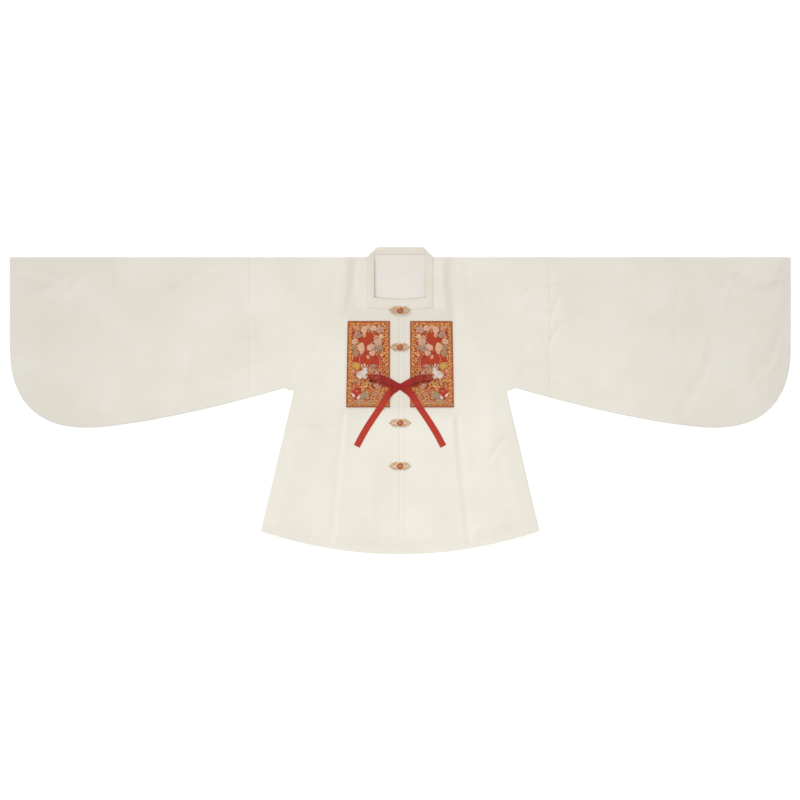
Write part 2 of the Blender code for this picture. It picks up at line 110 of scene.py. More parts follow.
LOOP_ENDS, CROSSING_ENDS = 11, 13   # stations at which the loop and the crossing end
TAIL_ROUTE = [(0.0115, 0.0240), (0.0258, 0.0145)] + [(-row.x, row.y) for row in RIBBON[15:]]
Fold = namedtuple("Fold", "x0 y0 x1 y1 half_width height")   # from one end to the other
FOLDS = in_metres(
    Fold,
    # troughs from the shoulder down to the upper corners of the panels
    (-106, 331, -112, 262, 16, -1.2), (-112, 262, -128, 190, 18, -1), (106, 331, 113, 258, 16, -1.2),
    (113, 258, 129, 186, 18, -1),
    # flares from the lower corners of the panels to the hem
    (-131, -30, -139, -142, 13, -1.2), (-139, -142, -162, -354, 16, -1.2), (131, -36, 141, -150, 13, -1.2),
    (141, -150, 164, -354, 16, -1.2),
    # soft rolls beside the underarms and across the sleeves
    (-196, 60, -205, -120, 30, 0.9), (200, 50, 212, -130, 30, 0.9), (-470, 20, -560, 180, 36, 0.8),
    (480, 30, 580, 190, 36, 0.8),
    # creases that start at the cuffs
    (-900, 215, -852, 90, 16, -1.1), (-860, 235, -740, 290, 22, -0.9), (900, 210, 850, 85, 16, -1.1),
    (855, 240, 735, 285, 22, -0.9),
)
CREASES = in_metres(
    Fold,
    # sharp hearts of the shoulder troughs and of the flares
    (-107, 331, -109, 264, 9.5, -1.1), (-109, 264, -124, 200, 9.5, -1.1), (114, 331, 113, 264, 9.5, -1.1),
    (113, 264, 125, 198, 9.5, -1.1), (-130, -34, -138, -142, 5.5, -1), (-138, -142, -157, -330, 6.5, -1),
    (-123, -40, -130, -142, 7, 1), (-130, -142, -149, -330, 8, 0.9), (133, -38, 141, -150, 5.5, -1),
    (141, -150, 160, -335, 6.5, -1), (122, -44, 130, -150, 7, 0.8), (130, -150, 150, -330, 8, 0.8),
    # level marks of folding across the skirt
    (-246, -66, -128, -60, 5, -0.5), (134, -62, 226, -68, 5, -0.4), (238, -88, 208, -134, 9.5, -0.9),
    (-234, -98, -214, -126, 8, -0.6), (-206, -190, -222, -240, 10, -0.5), (-196, -352, -188, -300, 13, 0.8),
    (170, -352, 176, -300, 13, 0.8),
    # crumples above the panels and beside the underarms
    (-90, 206, -45, 196, 7, -0.5), (92, 204, 46, 198, 7, -0.5), (-182, 150, -204, 100, 9, -0.5),
    (178, 140, 206, 94, 9, -0.5), (304, 260, 280, 238, 7, -0.6), (310, 236, 288, 222, 7, 0.5),
    # crumples of the sleeves
    (-800, 292, -760, 246, 8, -0.8), (-790, 262, -748, 286, 7, 0.7), (-772, 300, -744, 262, 7, -0.6),
    (-826, 272, -800, 246, 8, 0.6), (790, 296, 748, 262, 8, -0.5), (778, 258, 736, 292, 7, 0.6),
    (826, 280, 806, 244, 8, 0.3), (-890, 318, -862, 262, 12, -0.8), (890, 316, 864, 256, 12, -0.5),
    (-690, 250, -684, 80, 7, -0.4), (-664, 300, -668, 180, 7, 0.4), (640, 280, 636, 140, 7, -0.4),
    (706, 160, 690, 60, 9, 0.3), (840, 100, 800, 20, 11, -0.3), (-480, 120, -500, 30, 12, 0.6),
    (-372, 260, -352, 220, 8, -1.1), (-366, 214, -350, 170, 8, -1.1), (-364, 132, -350, 100, 7, -0.6),
    (366, 240, 352, 200, 8, -0.8), (368, 176, 350, 140, 8, -0.8), (330, 150, 344, 110, 7, -0.6),
    # beside the shoulder troughs
    (-94, 322, -97, 268, 8, 0.6), (95, 324, 99, 262, 8, 0.6), (-150, 300, -158, 215, 14, -0.5),
    (152, 306, 163, 232, 14, -0.5),
    # skirt, from the panels to the hem
    (-118, -40, -116, -120, 9, 0.5), (120, -44, 117, -128, 9, 0.5), (-232, -150, -262, -290, 20, -0.5),
    (228, -140, 266, -300, 20, -0.5), (-62, -190, -66, -330, 14, 0.4), (70, -170, 76, -320, 14, 0.4),
    (6, -188, 40, -193, 6, -0.4),
    # puckers at the sleeve joins and the underarms
    (-318, 262, -372, 255, 10, 0.5), (-330, 180, -378, 192, 9, -0.5), (-322, 98, -368, 88, 10, 0.4),
    (326, 270, 370, 276, 10, 0.5), (318, 205, 376, 196, 9, -0.5), (328, 112, 372, 120, 10, 0.4),
    (-258, 45, -300, 130, 12, 0.6), (260, 48, 306, 124, 12, 0.3), (-262, 34, -232, 100, 9, -0.5),
    (264, 36, 236, 94, 9, -0.3),
    # sleeves
    (-640, -30, -700, 90, 22, -0.6), (650, -28, 716, 96, 22, -0.6), (-776, 300, -752, 224, 12, 0.7),
    (-742, 276, -772, 246, 10, -0.6), (770, 296, 746, 218, 12, 0.4), (736, 268, 768, 250, 10, -0.6),
    (-884, 290, -800, 270, 12, 0.6), (886, 284, 806, 262, 12, 0.6), (-872, 90, -800, 20, 14, 0.5),
    (868, 84, 796, 16, 16, 0.3), (-430, 310, -520, 255, 18, -0.5), (440, 312, 534, 262, 18, -0.5),
)
BACK_CREASES = in_metres(
    Fold,
    (-90, 290, -110, 80, 20, 0.6), (96, 296, 104, 70, 20, 0.6), (-120, -60, -176, -340, 22, 0.7),
    (114, -50, 170, -336, 22, 0.7), (-210, 40, -330, 200, 18, 0.6), (214, 36, 336, 190, 18, 0.6),
    (-460, 40, -600, 230, 26, 0.6), (470, 50, 590, 240, 26, 0.6), (-700, 10, -860, 180, 24, 0.6),
    (712, 0, 866, 170, 24, 0.6),
)
CREASE_DEPTH = 1.4           # times the heights of the creases' table
CREASE_FADE = 0.022          # width along the edges in which the creases end
LOWEST = -0.0003             # deepest trough, from the height of the edges, clear of the back
UNEVEN = 0.00035             # slow rise and fall of the loose cloth
BACK_UNEVEN = 0.00025        # the same for the back's lower face, upwards only
SEAM_FADE = 0.004            # width along the edges in which the seams' grooves end
BACK_FADE = 0.030            # the same for the back's creases
HEM_STITCHING = 0.016        # from the hem's edge to its row of stitches
CUFF_STITCHING = 0.014       # from the cuff's edge to its row of stitches
FRONT_STITCHING = 0.0058     # from the front opening to its row of stitches
JOIN_COLUMNS = (0.002, 0.0045)              # closer points beside the sleeve join
OPENING_COLUMNS = (0.0020, 0.0040, 0.0065, 0.0125)   # and beside the front opening
BARE_FROM = 0.002            # from the trims' edges to where the creases begin
CORNER_PUSH, CORNER_REACH = 0.0042, 0.016   # how the cloth rounds the underarm's corner
BACK_MITRE_SHARE = 0.48      # where the back band's mitre meets the slanted outer edge

ROOM_LIGHT = 1.16            # how much the lights brighten what lies in their middle
CLOTH_STEP = 0.0050          # largest distance between the cloth's points
PANEL_STEP = 0.0030          # the same for the panels
BAND_STEP = 0.003            # the same along the collar's bands
WEAVE_PITCH = 0.0007         # from thread to thread of the cloth and the ribbon
HANDS = (("left", -1), ("right", 1))
EDGE_ANGLE, SOFT_EDGE_ANGLE = 50.0, 60.0    # degrees from which an edge is drawn sharp


# ---- graphs of nodes ---------------------------------------------------------------------
def arithmetic(operation, reflected=False):
    def apply(self, other):
        pair = (other, self) if reflected else (self, other)
        return self.graph.math(operation, *pair)
    return apply


class Socket:
    """An output that can be used in sums."""

    def __init__(self, graph, output):
        self.graph = graph
        self.output = output

    __add__ = arithmetic("ADD")
    __radd__ = arithmetic("ADD", True)
    __sub__ = arithmetic("SUBTRACT")
    __rsub__ = arithmetic("SUBTRACT", True)
    __mul__ = arithmetic("MULTIPLY")
    __rmul__ = arithmetic("MULTIPLY", True)
    __truediv__ = arithmetic("DIVIDE")
    __gt__ = arithmetic("GREATER_THAN")
    __lt__ = arithmetic("LESS_THAN")


class Graph:
    """A tree of nodes, which its methods add to."""

    def __init__(self, tree):
        self.tree = tree

    def feed(self, target, value):
        if isinstance(value, Socket):
            self.tree.links.new(value.output, target)
        else:
            target.default_value = value

    def node(self, kind, settings=None, values=None, output=0):
        made = self.tree.nodes.new(kind)
        for name, value in (settings or {}).items():
            setattr(made, name, value)
        for name, value in (values or {}).items():
            self.feed(made.inputs[name], value)
        return Socket(self, made.outputs[output])

    def math(self, operation, *values):
        return self.node("ShaderNodeMath", {"operation": operation}, dict(enumerate(values)))


def dye(red, green, blue):
    """A colour from the display values, 0 to 255, that it has in the light of the room."""
    return tuple(((part / 255 + 0.055) / 1.055) ** 2.4 / ROOM_LIGHT for part in (red, green, blue)) + (1.0,)


class Finish(Graph):
    """A material and the graph that makes its looks."""

    def __init__(self, name, **constants):
        self.material = bpy.data.materials.new(name)
        self.material.use_nodes = True
        super().__init__(self.material.node_tree)
        self.shader = self.tree.nodes["Principled BSDF"]
        for socket, value in constants.items():
            self.shader.inputs[socket.replace("_", " ")].default_value = value

    def place(self):
        return self.node("ShaderNodeTexCoord", output="Object")

    def lay(self, name):
        return self.node("ShaderNodeUVMap", {"uv_map": name})

    def axis(self, vector, which):
        return self.node("ShaderNodeSeparateXYZ", values={0: vector}, output=which)

    def stretched(self, vector, scale):
        return self.node("ShaderNodeVectorMath", {"operation": "MULTIPLY"}, {0: vector, 1: scale})

    def cloudy(self, vector, scale, detail=2.0):
        values = {"Vector": vector, "Scale": scale, "Detail": detail}
        return self.node("ShaderNodeTexNoise", values=values, output="Fac")

    def mixed(self, share, first, second, blend_type="MIX"):
        settings = {"data_type": "RGBA", "blend_type": blend_type}
        return self.node("ShaderNodeMix", settings, {0: share, 6: first, 7: second}, output=2)

    def spread(self, value, low, high):
        """value's run from low to high as 0 to 1."""
        return self.node("ShaderNodeMapRange", values={0: value, 1: low, 2: high})

    def painted(self, colour, roughness, height=None, strength=0.0, distance=0.0):
        """The material with this colour and roughness, and with a relief where a height is given."""
        looks = {"Base Color": colour, "Roughness": roughness}
        if height is not None:
            values = {"Height": height, "Strength": strength, "Distance": distance}
            looks["Normal"] = self.node("ShaderNodeBump", values=values)
        for socket, value in looks.items():
            self.feed(self.shader.inputs[socket], value)
        return self.material


def threads(finish, value, pitch):
    """Rounded ridges along a coordinate, one for each thread, from -1 to 1."""
    return finish.math("SINE", value * (2 * math.pi / pitch))


def woven(name, pale, deep, roughness, sheen, painted_shade_colour=None):
    """Plain woven cloth with slow unevenness, thicker threads here and there, and painted shade over the
    shoulder troughs and round the panels.
    """
    finish = Finish(name, Sheen_Weight=sheen, Sheen_Roughness=0.4, Specular_IOR_Level=0.25)
    place = finish.place()
    slow = finish.cloudy(place, 7.0, 3.0)
    slub = finish.cloudy(finish.stretched(place, (18.0, 900.0, 18.0)), 1.0)
    warp_slub = finish.cloudy(finish.stretched(place, (1100.0, 26.0, 18.0)), 1.0)
    weft, warp = (threads(finish, finish.axis(place, name), WEAVE_PITCH) for name in "YX")
    tone = finish.spread(slow * 0.6 + slub * 0.25 + warp_slub * 0.15, 0.35, 0.65)
    colour = finish.mixed(tone, deep, pale)
    if painted_shade_colour:
        # painted shade: darker over the shoulder troughs, and between, above and beside the panels
        across = finish.math("ABSOLUTE", finish.axis(place, "X"))
        up = finish.axis(place, "Y")
        within = finish.spread(across, 0.132, 0.117) * finish.spread(up, -0.045, -0.015)
        about = finish.math("MAXIMUM", finish.spread(across, 0.098, 0.108), finish.spread(up, 0.222, 0.200))
        colour = finish.mixed(within * about * 0.40, colour, painted_shade_colour)
    return finish.painted(colour, roughness + (slub - 0.5) * 0.12,
                          weft * warp + (slub + warp_slub) * 1.4, 0.22, 0.00012)


def embroidered_ground(width, length, border):
    """Red satin within a border of burnt orange, in the panel's own measures."""
    finish = Finish("red_satin_ground", Specular_IOR_Level=0.15)
    lay = finish.lay("panel_lay")
    across, up = finish.axis(lay, "X"), finish.axis(lay, "Y")
    field = (across > border) * (across < width - border) * (up > border) * (up < length - border)
    patchy = finish.cloudy(lay, 130.0, 3.0)
    red = finish.mixed(patchy, dye(152, 48, 24), dye(188, 66, 36))
    orange = finish.mixed(patchy, dye(176, 86, 38), dye(212, 126, 60))
    twill = threads(finish, across + up * 0.5, 0.0006)
    return finish.painted(finish.mixed(field, orange, red), 0.48 + patchy * 0.15,
                          twill + patchy * 1.5, 0.3, 0.0001)


def silk_thread():
    """Floss whose colour and lay come with the stitches, with painted shade between its threads."""
    finish = Finish("silk_floss", Sheen_Weight=0.03, Specular_IOR_Level=0.2)
    lay = finish.lay("thread_lay")
    across = finish.axis(lay, "X")
    ridges = threads(finish, across, 1.0)
    strand = finish.node("ShaderNodeTexWhiteNoise", {"noise_dimensions": "1D"},
                         {"W": finish.math("FLOOR", across)}, output="Value")
    colour = finish.node("ShaderNodeVertexColor", {"layer_name": "thread_colour"})
    # painted shade between the thread ridges, with random tone from strand to strand
    shade = finish.spread(ridges * 0.5 + strand * 0.8, -0.5, 1.3)
    floss_in_painted_shade = finish.mixed(1.0, colour, dye(222, 208, 200), "MULTIPLY")
    return finish.painted(finish.mixed(shade, floss_in_painted_shade, colour), 0.36 + strand * 0.16, ridges, 0.45, 0.00015)


def satin_ribbon():
    """Red satin, with painted shade that darkens it towards the knot where the bow crosses, and painted shade
    and painted highlights on the crumpled ends of the loops.
    """
    finish = Finish("red_satin_ribbon", Specular_IOR_Level=0.16)
    place = finish.place()
    lay = finish.lay("ribbon_lay")
    away = finish.node("ShaderNodeVectorMath", {"operation": "DISTANCE"},
                       {0: place, 1: (0.0, 0.032, 0.008)}, output="Value")
    outward = finish.spread(away, 0.010, 0.055)
    patchy = finish.cloudy(place, 60.0, 3.0)
    warp = threads(finish, finish.axis(lay, "X"), WEAVE_PITCH)
    weft = finish.cloudy(finish.stretched(lay, (300.0, 3000.0, 1.0)), 1.0)
    # painted shade of the gathered knot: darker towards where the bow crosses
    red = finish.mixed(outward, dye(152, 28, 24), dye(184, 56, 38))
    x, y = finish.math("ABSOLUTE", finish.axis(place, "X")), finish.axis(place, "Y")
    # painted shade on the crumpled ends of the loops, with painted highlights where the glints fall
    loop = finish.spread(x, 0.014, 0.034) * finish.spread(y - x * 0.25, 0.018, 0.026)
    glints = finish.spread(finish.cloudy(finish.stretched(place, (110.0, 190.0, 110.0)), 1.0), 0.52, 0.66)
    wear_and_painted_crumple_shade = finish.mixed(glints * finish.spread(x, 0.036, 0.052), dye(124, 26, 14), dye(196, 112, 86))
    red = finish.mixed(loop * 0.85, red, wear_and_painted_crumple_shade)
    return finish.painted(finish.mixed(patchy * 0.4, red, dye(146, 36, 26)), 0.46 + weft * 0.16,
                          warp * 0.5 + weft, 0.25, 0.0001)


def gilt():
    """Pale gilt wire, darker in random patches."""
    finish = Finish("pale_gilt", Metallic=1.0)
    place = finish.place()
    wear_and_painted_crumple_shade = finish.cloudy(place, 420.0, 3.0)
    return finish.painted(finish.mixed(wear_and_painted_crumple_shade, dye(204, 144, 88), dye(246, 208, 150)), 0.40 + wear_and_painted_crumple_shade * 0.22,
                          finish.cloudy(place, 1500.0), 0.12, 0.0002)


def agate():
    """Polished orange-red stone with faint bands, some browner."""
    finish = Finish("red_agate", Coat_Weight=0.25, Coat_Roughness=0.12, Specular_IOR_Level=0.4)
    band = finish.cloudy(finish.stretched(finish.place(), (160.0, 420.0, 160.0)), 1.0, 4.0)
    red = finish.mixed(finish.spread(band, 0.3, 0.7), dye(164, 70, 36), dye(204, 108, 68))
    return finish.painted(red, 0.16 + band * 0.10)


def spun_thread(name, pale, deep, pitch):
    """Sewing thread, with its twist, and painted shade in the twist's grooves."""
    finish = Finish(name, Sheen_Weight=0.2, Specular_IOR_Level=0.4)
    place = finish.place()
    twist = threads(finish, finish.axis(place, "X") + finish.axis(place, "Y"), pitch)
    # painted shade: the deep colour in the grooves of the twist, the pale one on its ridges
    return finish.painted(finish.mixed(twist * 0.5 + 0.5, deep, pale), 0.55 + twist * 0.05,
                          twist, 0.3, 0.0001)


# ---- meshes ------------------------------------------------------------------------------
def add_object(name, mesh, *materials):
    item = bpy.data.objects.new(name, mesh)
    bpy.context.scene.collection.objects.link(item)
    for material in materials:
        mesh.materials.append(material)
    return item


def add_mesh(name, points, faces, *materials, edges=()):
    mesh = bpy.data.meshes.new(name)
    mesh.from_pydata([tuple(point) for point in points], list(edges), faces)
    mesh.update()
    return add_object(name, mesh, *materials)


def settled(item, sharp_degrees=None):
    """Swaps the object's mesh for the one that its modifiers make, and smooths it."""
    depsgraph = bpy.context.evaluated_depsgraph_get()
    made = bpy.data.meshes.new_from_object(item.evaluated_get(depsgraph), depsgraph=depsgraph)
    item.modifiers.clear()
    item.data = made
    made.shade_smooth()
    if sharp_degrees:
        made.set_sharp_from_angle(angle=math.radians(sharp_degrees))
    return item


def give_wall(item, thickness, offset=-1.0):
    wall = item.modifiers.new("wall", "SOLIDIFY")
    wall.thickness = thickness
    wall.offset = offset
    return item


def set_lay(mesh, name, lays):
    """A UV map from one pair of numbers for each point."""
    corners = np.empty(len(mesh.loops), dtype=np.int32)
    mesh.loops.foreach_get("vertex_index", corners)
    layer = mesh.uv_layers.new(name=name)
    layer.data.foreach_set("uv", np.asarray(lays, dtype=np.float32)[corners].ravel())


def grid_faces(columns, rows, flip=False):
    """Faces of a grid whose points run along its rows, one column after another."""
    faces = []
    for column in range(columns - 1):
        for row in range(rows - 1):
            low = column * rows + row
            face = (low, low + rows, low + rows + 1, low + 1)
            faces.append(face[::-1] if flip else face)
    return faces


def tube_faces(rings, sides, closed=False):
    """Faces between rings of points. closed joins the last ring to the first."""
    faces = []
    for ring in range(rings if closed else rings - 1):
        low, high = ring * sides, (ring + 1) % rings * sides
        for index in range(sides):
            ahead = (index + 1) % sides
            faces.append((low + index, low + ahead, high + ahead, high + index))
    return faces


def tube_ends(count, sides):
    """The two faces that close a tube of count points."""
    return [tuple(range(sides))[::-1], tuple(range(count - sides, count))]


def running_total(steps):
    return np.concatenate([[0.0], np.cumsum(steps)])


def blend(start, end, share):
    return start + (end - start) * share


def straight(start, end, shares):
    """Points at these shares of the line from start to end."""
    return [(blend(start[0], end[0], share), blend(start[1], end[1], share)) for share in shares]


def polar(middle, reach, angle):
    """The point at this reach and angle from the middle."""
    return middle[0] + reach * math.cos(angle), middle[1] + reach * math.sin(angle)


def turned(place, along, across, angle):
    """The point along and across from place, in axes turned by an angle."""
    cosine, sine = math.cos(angle), math.sin(angle)
    return place[0] + along * cosine - across * sine, place[1] + along * sine + across * cosine


def smooth(share):
    share = np.clip(share, 0.0, 1.0)
    return share * share * (3.0 - 2.0 * share)


def bump(distance, half_width):
    """1 on a line, and 0 from half_width away."""
    return smooth(1.0 - np.abs(distance) / half_width)


def stations(marks, step):
    """The marks with even steps between them, no longer than step."""
    found = []
    for low, high in zip(marks, marks[1:]):
        count = max(1, math.ceil(abs(high - low) / step - 1e-6))
        found += [blend(low, high, index / count) for index in range(count)]
    return found + [marks[-1]]


def smooth_line(points, count):
    """A smooth curve through points of any number of coordinates."""
    points = np.asarray(points, dtype=float)
    padded = np.vstack([2 * points[0] - points[1], points, 2 * points[-1] - points[-2]])
    shares = np.linspace(0.0, len(points) - 1.0, count)
    index = np.minimum(shares.astype(int), len(points) - 2)
    part = (shares - index)[:, None]
    before, start, end, after = (padded[index + step] for step in range(4))
    return 0.5 * (
        2 * start
        + (end - before) * part
        + (2 * before - 5 * start + 4 * end - after) * part ** 2
        + (3 * start - before - 3 * end + after) * part ** 3
    )


# ---- the form of the cloth ---------------------------------------------------------------
def side_seam_x(y):
    slope = (HEM_CORNER[0] - SIDE_SEAM_TOP[0]) / (SIDE_SEAM_TOP[1] - HEM_CORNER[1])
    return SIDE_SEAM_TOP[0] + slope * (SIDE_SEAM_TOP[1] - y)


def underside_y(x):
    share = max(SLEEVE_LOW[0] - x, 0.0) / SLEEVE_RISE_LENGTH
    return min(SLEEVE_LOW[1] + SLEEVE_RISE * share ** SLEEVE_RISE_POWER, UNDERARM[1])


def round_end_point(angle):
    power = 2.0 / ROUND_END_POWER
    reach = HALF_SPAN - SLEEVE_LOW[0]
    depth = CUFF_LOW_Y - SLEEVE_LOW[1]
    x = SLEEVE_LOW[0] + reach * math.sin(angle) ** power
    return x, CUFF_LOW_Y - depth * max(math.cos(angle), 0.0) ** power


def skirt_edge(share):
    if share == 0.0:
        return UNDERARM
    y = blend(UNDERARM[1], HEM_CORNER[1], share)
    return side_seam_x(y), y


def half_outline():
    """The right half's outline, from the hem's centre round to the shoulder fold."""
    points = []
    for across in np.linspace(0.0, 1.0, 13):
        points.append((HEM_CORNER[0] * across, blend(HEM_Y, HEM_CORNER[1], across ** 2)))
    points.append(skirt_edge(0.06))
    points += [(x, underside_y(x)) for x in np.linspace(UNDERARM[0], SLEEVE_LOW[0], 14)]
    points += [round_end_point(angle) for angle in np.linspace(0.25, math.pi / 2, 12)]
    return points + [(HALF_SPAN, SHOULDER_Y), (0.0, SHOULDER_Y)]


OUTLINE = half_outline()
HEM_LINE = OUTLINE[:13]


def stretch_distance(x, y, start, end):
    run_x, run_y = end[0] - start[0], end[1] - start[1]
    share = ((x - start[0]) * run_x + (y - start[1]) * run_y) / (run_x ** 2 + run_y ** 2)
    share = np.clip(share, 0.0, 1.0)
    return np.hypot(x - start[0] - run_x * share, y - start[1] - run_y * share)


def line_distance(x, y, line):
    nearest = np.full(np.shape(x), 10.0)
    for start, end in zip(line, line[1:]):
        nearest = np.minimum(nearest, stretch_distance(x, y, start, end))
    return nearest


def fold_heights(x, y, folds):
    """The sum of the folds. One that starts where the last one ended goes on from it."""
    total = np.zeros(np.shape(x))
    last, last_end = total, None
    for fold in folds:
        distance = stretch_distance(x, y, (fold.x0, fold.y0), (fold.x1, fold.y1))
        height = fold.height * bump(distance, fold.half_width)
        total = total + height
        if last_end == (fold.x0, fold.y0):
            total = total - np.where(np.abs(height) < np.abs(last), height, last)
        last, last_end = height, (fold.x1, fold.y1)
    return total


def at_least(value, low, ease):
    """value, turned gently into low where it would go below it."""
    over = np.clip((value - low) / ease, -1.0, 1.0)
    return np.maximum(value, low + ease) * (over >= 1.0) + (low + ease * (over + 1.0) ** 2 / 4) * (over < 1.0)


def unevenness(x, y, length, seed):
    """Slow hills and hollows between about -1 and 1."""
    total = 0.0
    for turn in range(4):
        angle = seed + 2.4 * turn
        size = length * (1.0 - 0.14 * turn)
        along = x * math.cos(angle) + y * math.sin(angle)
        across = y * math.cos(angle) - x * math.sin(angle)
        bend = 1.3 * np.sin(across * (2 * math.pi / (1.9 * size)) + seed)
        total = total + np.sin(along * (2 * math.pi / size) + bend + seed * turn)
    return total / 3.0


def rest_top(x, y):
    """Height of the front where trims lie on it, as in the frame."""
    edge = line_distance(np.abs(x), y, OUTLINE)
    return FRONT_TOP + (LOFT + fold_heights(x, y, FOLDS)) * smooth(edge / EDGE_FADE)


def outside_box(x, y, centre, half):
    return np.hypot(np.maximum(np.abs(x - centre[0]) - half[0], 0.0),
                    np.maximum(np.abs(y - centre[1]) - half[1], 0.0))


def bare(x, y):
    """0 under the trims and 1 well away from them."""
    x = np.abs(x)
    panel_mid = ((PANEL_INNER_X + PANEL_OUTER_X[0]) / 2, (PANEL_Y[0] + PANEL_Y[1]) / 2)
    panel_half = ((PANEL_OUTER_X[0] - PANEL_INNER_X) / 2, (PANEL_Y[1] - PANEL_Y[0]) / 2)
    share = smooth((outside_box(x, y, panel_mid, panel_half) - BARE_FROM) / 0.010)
    collar_half = (BAND_SHOULDER[0], (SHOULDER_Y - BAND_FRONT_Y) / 2)
    collar_mid = (0.0, (SHOULDER_Y + BAND_FRONT_Y) / 2)
    share = share * smooth((outside_box(x, y, collar_mid, collar_half) - BARE_FROM) / 0.008)
    tail = line_distance(x, y, TAIL_ROUTE)
    return share * smooth((tail - 0.009) / 0.008)


def seam_lines(x, y):
    """Grooves of the seams and edges, and the ridges beside them."""
    across = np.abs(x)
    opening = blend(1.0, 0.35, smooth((-0.235 - y) / 0.05))
    height = -0.0007 * bump(across, 0.0030) * opening
    for line_x, half_width, rise in ((0.0042, 0.0030, 0.00035), (-0.0045, 0.0030, 0.00015),
                                     (-0.018, 0.0032, -0.00022), (0.0125, 0.0032, -0.00025),
                                     (0.030, 0.0032, -0.00018)):
        height += rise * bump(x - line_x, half_width)
    join = across - SLEEVE_JOIN_X
    height -= 0.00050 * bump(join, 0.0055)
    height += 0.00045 * (np.sin(y * 430.0 + 1.7 * np.sin(y * 61.0)) * np.exp(-np.abs(join) / 0.010))
    hem = line_distance(across, y, HEM_LINE)
    height -= 0.00022 * bump(hem - HEM_STITCHING, 0.0022)
    height += 0.00018 * np.sin(x * 240.0 + 2.0 * np.sin(x * 31.0)) * bump(hem, 0.022)
    return height - 0.00022 * bump(HALF_SPAN - across - CUFF_STITCHING, 0.0022)


def cloth_top(x, y):
    """Height of the front's upper face, with every crease and seam."""
    edge = line_distance(np.abs(x), y, OUTLINE)
    loose = CREASE_DEPTH * fold_heights(x, y, CREASES)
    loose = loose + UNEVEN * unevenness(x, y, 0.17, 0.7) + 0.4 * UNEVEN * unevenness(x, y, 0.06, 2.9)
    lift = (LOFT + fold_heights(x, y, FOLDS)) * smooth(edge / EDGE_FADE)
    loose = loose * smooth(edge / CREASE_FADE)
    lift = lift + (loose + seam_lines(x, y) * smooth(edge / SEAM_FADE)) * bare(x, y)
    return FRONT_TOP + at_least(lift, LOWEST + cloth_bottom(x, y), -LOWEST)


def cloth_bottom(x, y):
    """Height of the back's lower face, which rests on 0 between its creases."""
    edge = line_distance(np.abs(x), y, OUTLINE)
    lift = fold_heights(x, y, BACK_CREASES)
    lift = lift + BACK_UNEVEN * np.maximum(unevenness(x, y, 0.15, 4.2), 0.0)
    return lift * smooth(edge / BACK_FADE)


# ---- the folded pieces: body and sleeves -------------------------------------------------
def into_corner(x, y):
    """Cloth fills the underarm's corner a little, so that it is round."""
    away = math.hypot(x - UNDERARM[0], y - UNDERARM[1])
    push = CORNER_PUSH * max(1.0 - away / CORNER_REACH, 0.0) ** 2
    return x + push, y - push


def body_plans():
    """Places of the right front and the right back, keyed by (column, row), and the turns."""
    columns = stations((CENTRE_X, *OPENING_COLUMNS, NECK_X, NECK_CUT[0], UNDERARM[0]), CLOTH_STEP)
    edge = len(columns) - 1
    arm_end = SLEEVE_JOIN_X - JOIN_GAP
    near = [arm_end - width for width in JOIN_COLUMNS[::-1]]
    columns += stations((UNDERARM[0], *near, arm_end), CLOTH_STEP)[1:]
    skirt = stations((1.0, 0.996, 0.985, 0.0), CLOTH_STEP / (UNDERARM[1] - HEM_Y))
    chest = stations((UNDERARM[1], NECK_CUT[1], SHOULDER_Y), CLOTH_STEP)
    armpit, top, arm = len(skirt) - 1, len(skirt) + len(chest) - 2, len(columns) - 1
    neck = columns.index(NECK_CUT[0])
    back = {}
    for row, share in enumerate(skirt):
        centre_y = blend(UNDERARM[1], HEM_Y, share)
        edge_x, edge_y = skirt_edge(share)
        for column, x in enumerate(columns[:edge + 1]):
            across = x / UNDERARM[0]
            spread = x if column == 0 else edge_x * across
            back[column, row] = (spread, blend(centre_y, edge_y, across ** 2))
    for row, y in enumerate(chest[1:], start=armpit + 1):
        up = (y - UNDERARM[1]) / (SHOULDER_Y - UNDERARM[1])
        for column, x in enumerate(columns):
            low = UNDERARM[1] if column <= edge else underside_y(x)
            back[column, row] = (x, blend(low, SHOULDER_Y, up))
    for column in range(edge + 1, arm + 1):
        back[column, armpit] = (columns[column], underside_y(columns[column]))
    side_turn = [(edge, row) for row in range(armpit + 1)]
    side_turn += [(column, armpit) for column in range(edge + 1, arm + 1)]
    for key in side_turn:
        back[key] = into_corner(*back[key])
    shoulder_turn = [(column, top) for column in range(arm, neck - 1, -1)]
    neck_row = armpit + chest.index(NECK_CUT[1])
    front = {key: place for key, place in back.items() if key[0] >= neck or key[1] <= neck_row}
    for column, x in enumerate(columns[:neck]):
        if x <= NECK_X:
            back[column, top] = (x, NECK_BACK_Y - SEAM)
    return front, back, [side_turn, shoulder_turn]


def lower_edge_y(x):
    if x <= SLEEVE_LOW[0]:
        return underside_y(x)
    sine = ((x - SLEEVE_LOW[0]) / (HALF_SPAN - SLEEVE_LOW[0])) ** (ROUND_END_POWER / 2)
    return round_end_point(math.asin(min(sine, 1.0)))[1]


def evenly(line, count):
    """Points at equal distances along a line."""
    line = np.asarray(line, dtype=float)
    run = running_total(np.hypot(*np.diff(line, axis=0).T))
    spots = np.linspace(0.0, run[-1], count)
    return np.column_stack([np.interp(spots, run, line[:, 0]), np.interp(spots, run, line[:, 1])])


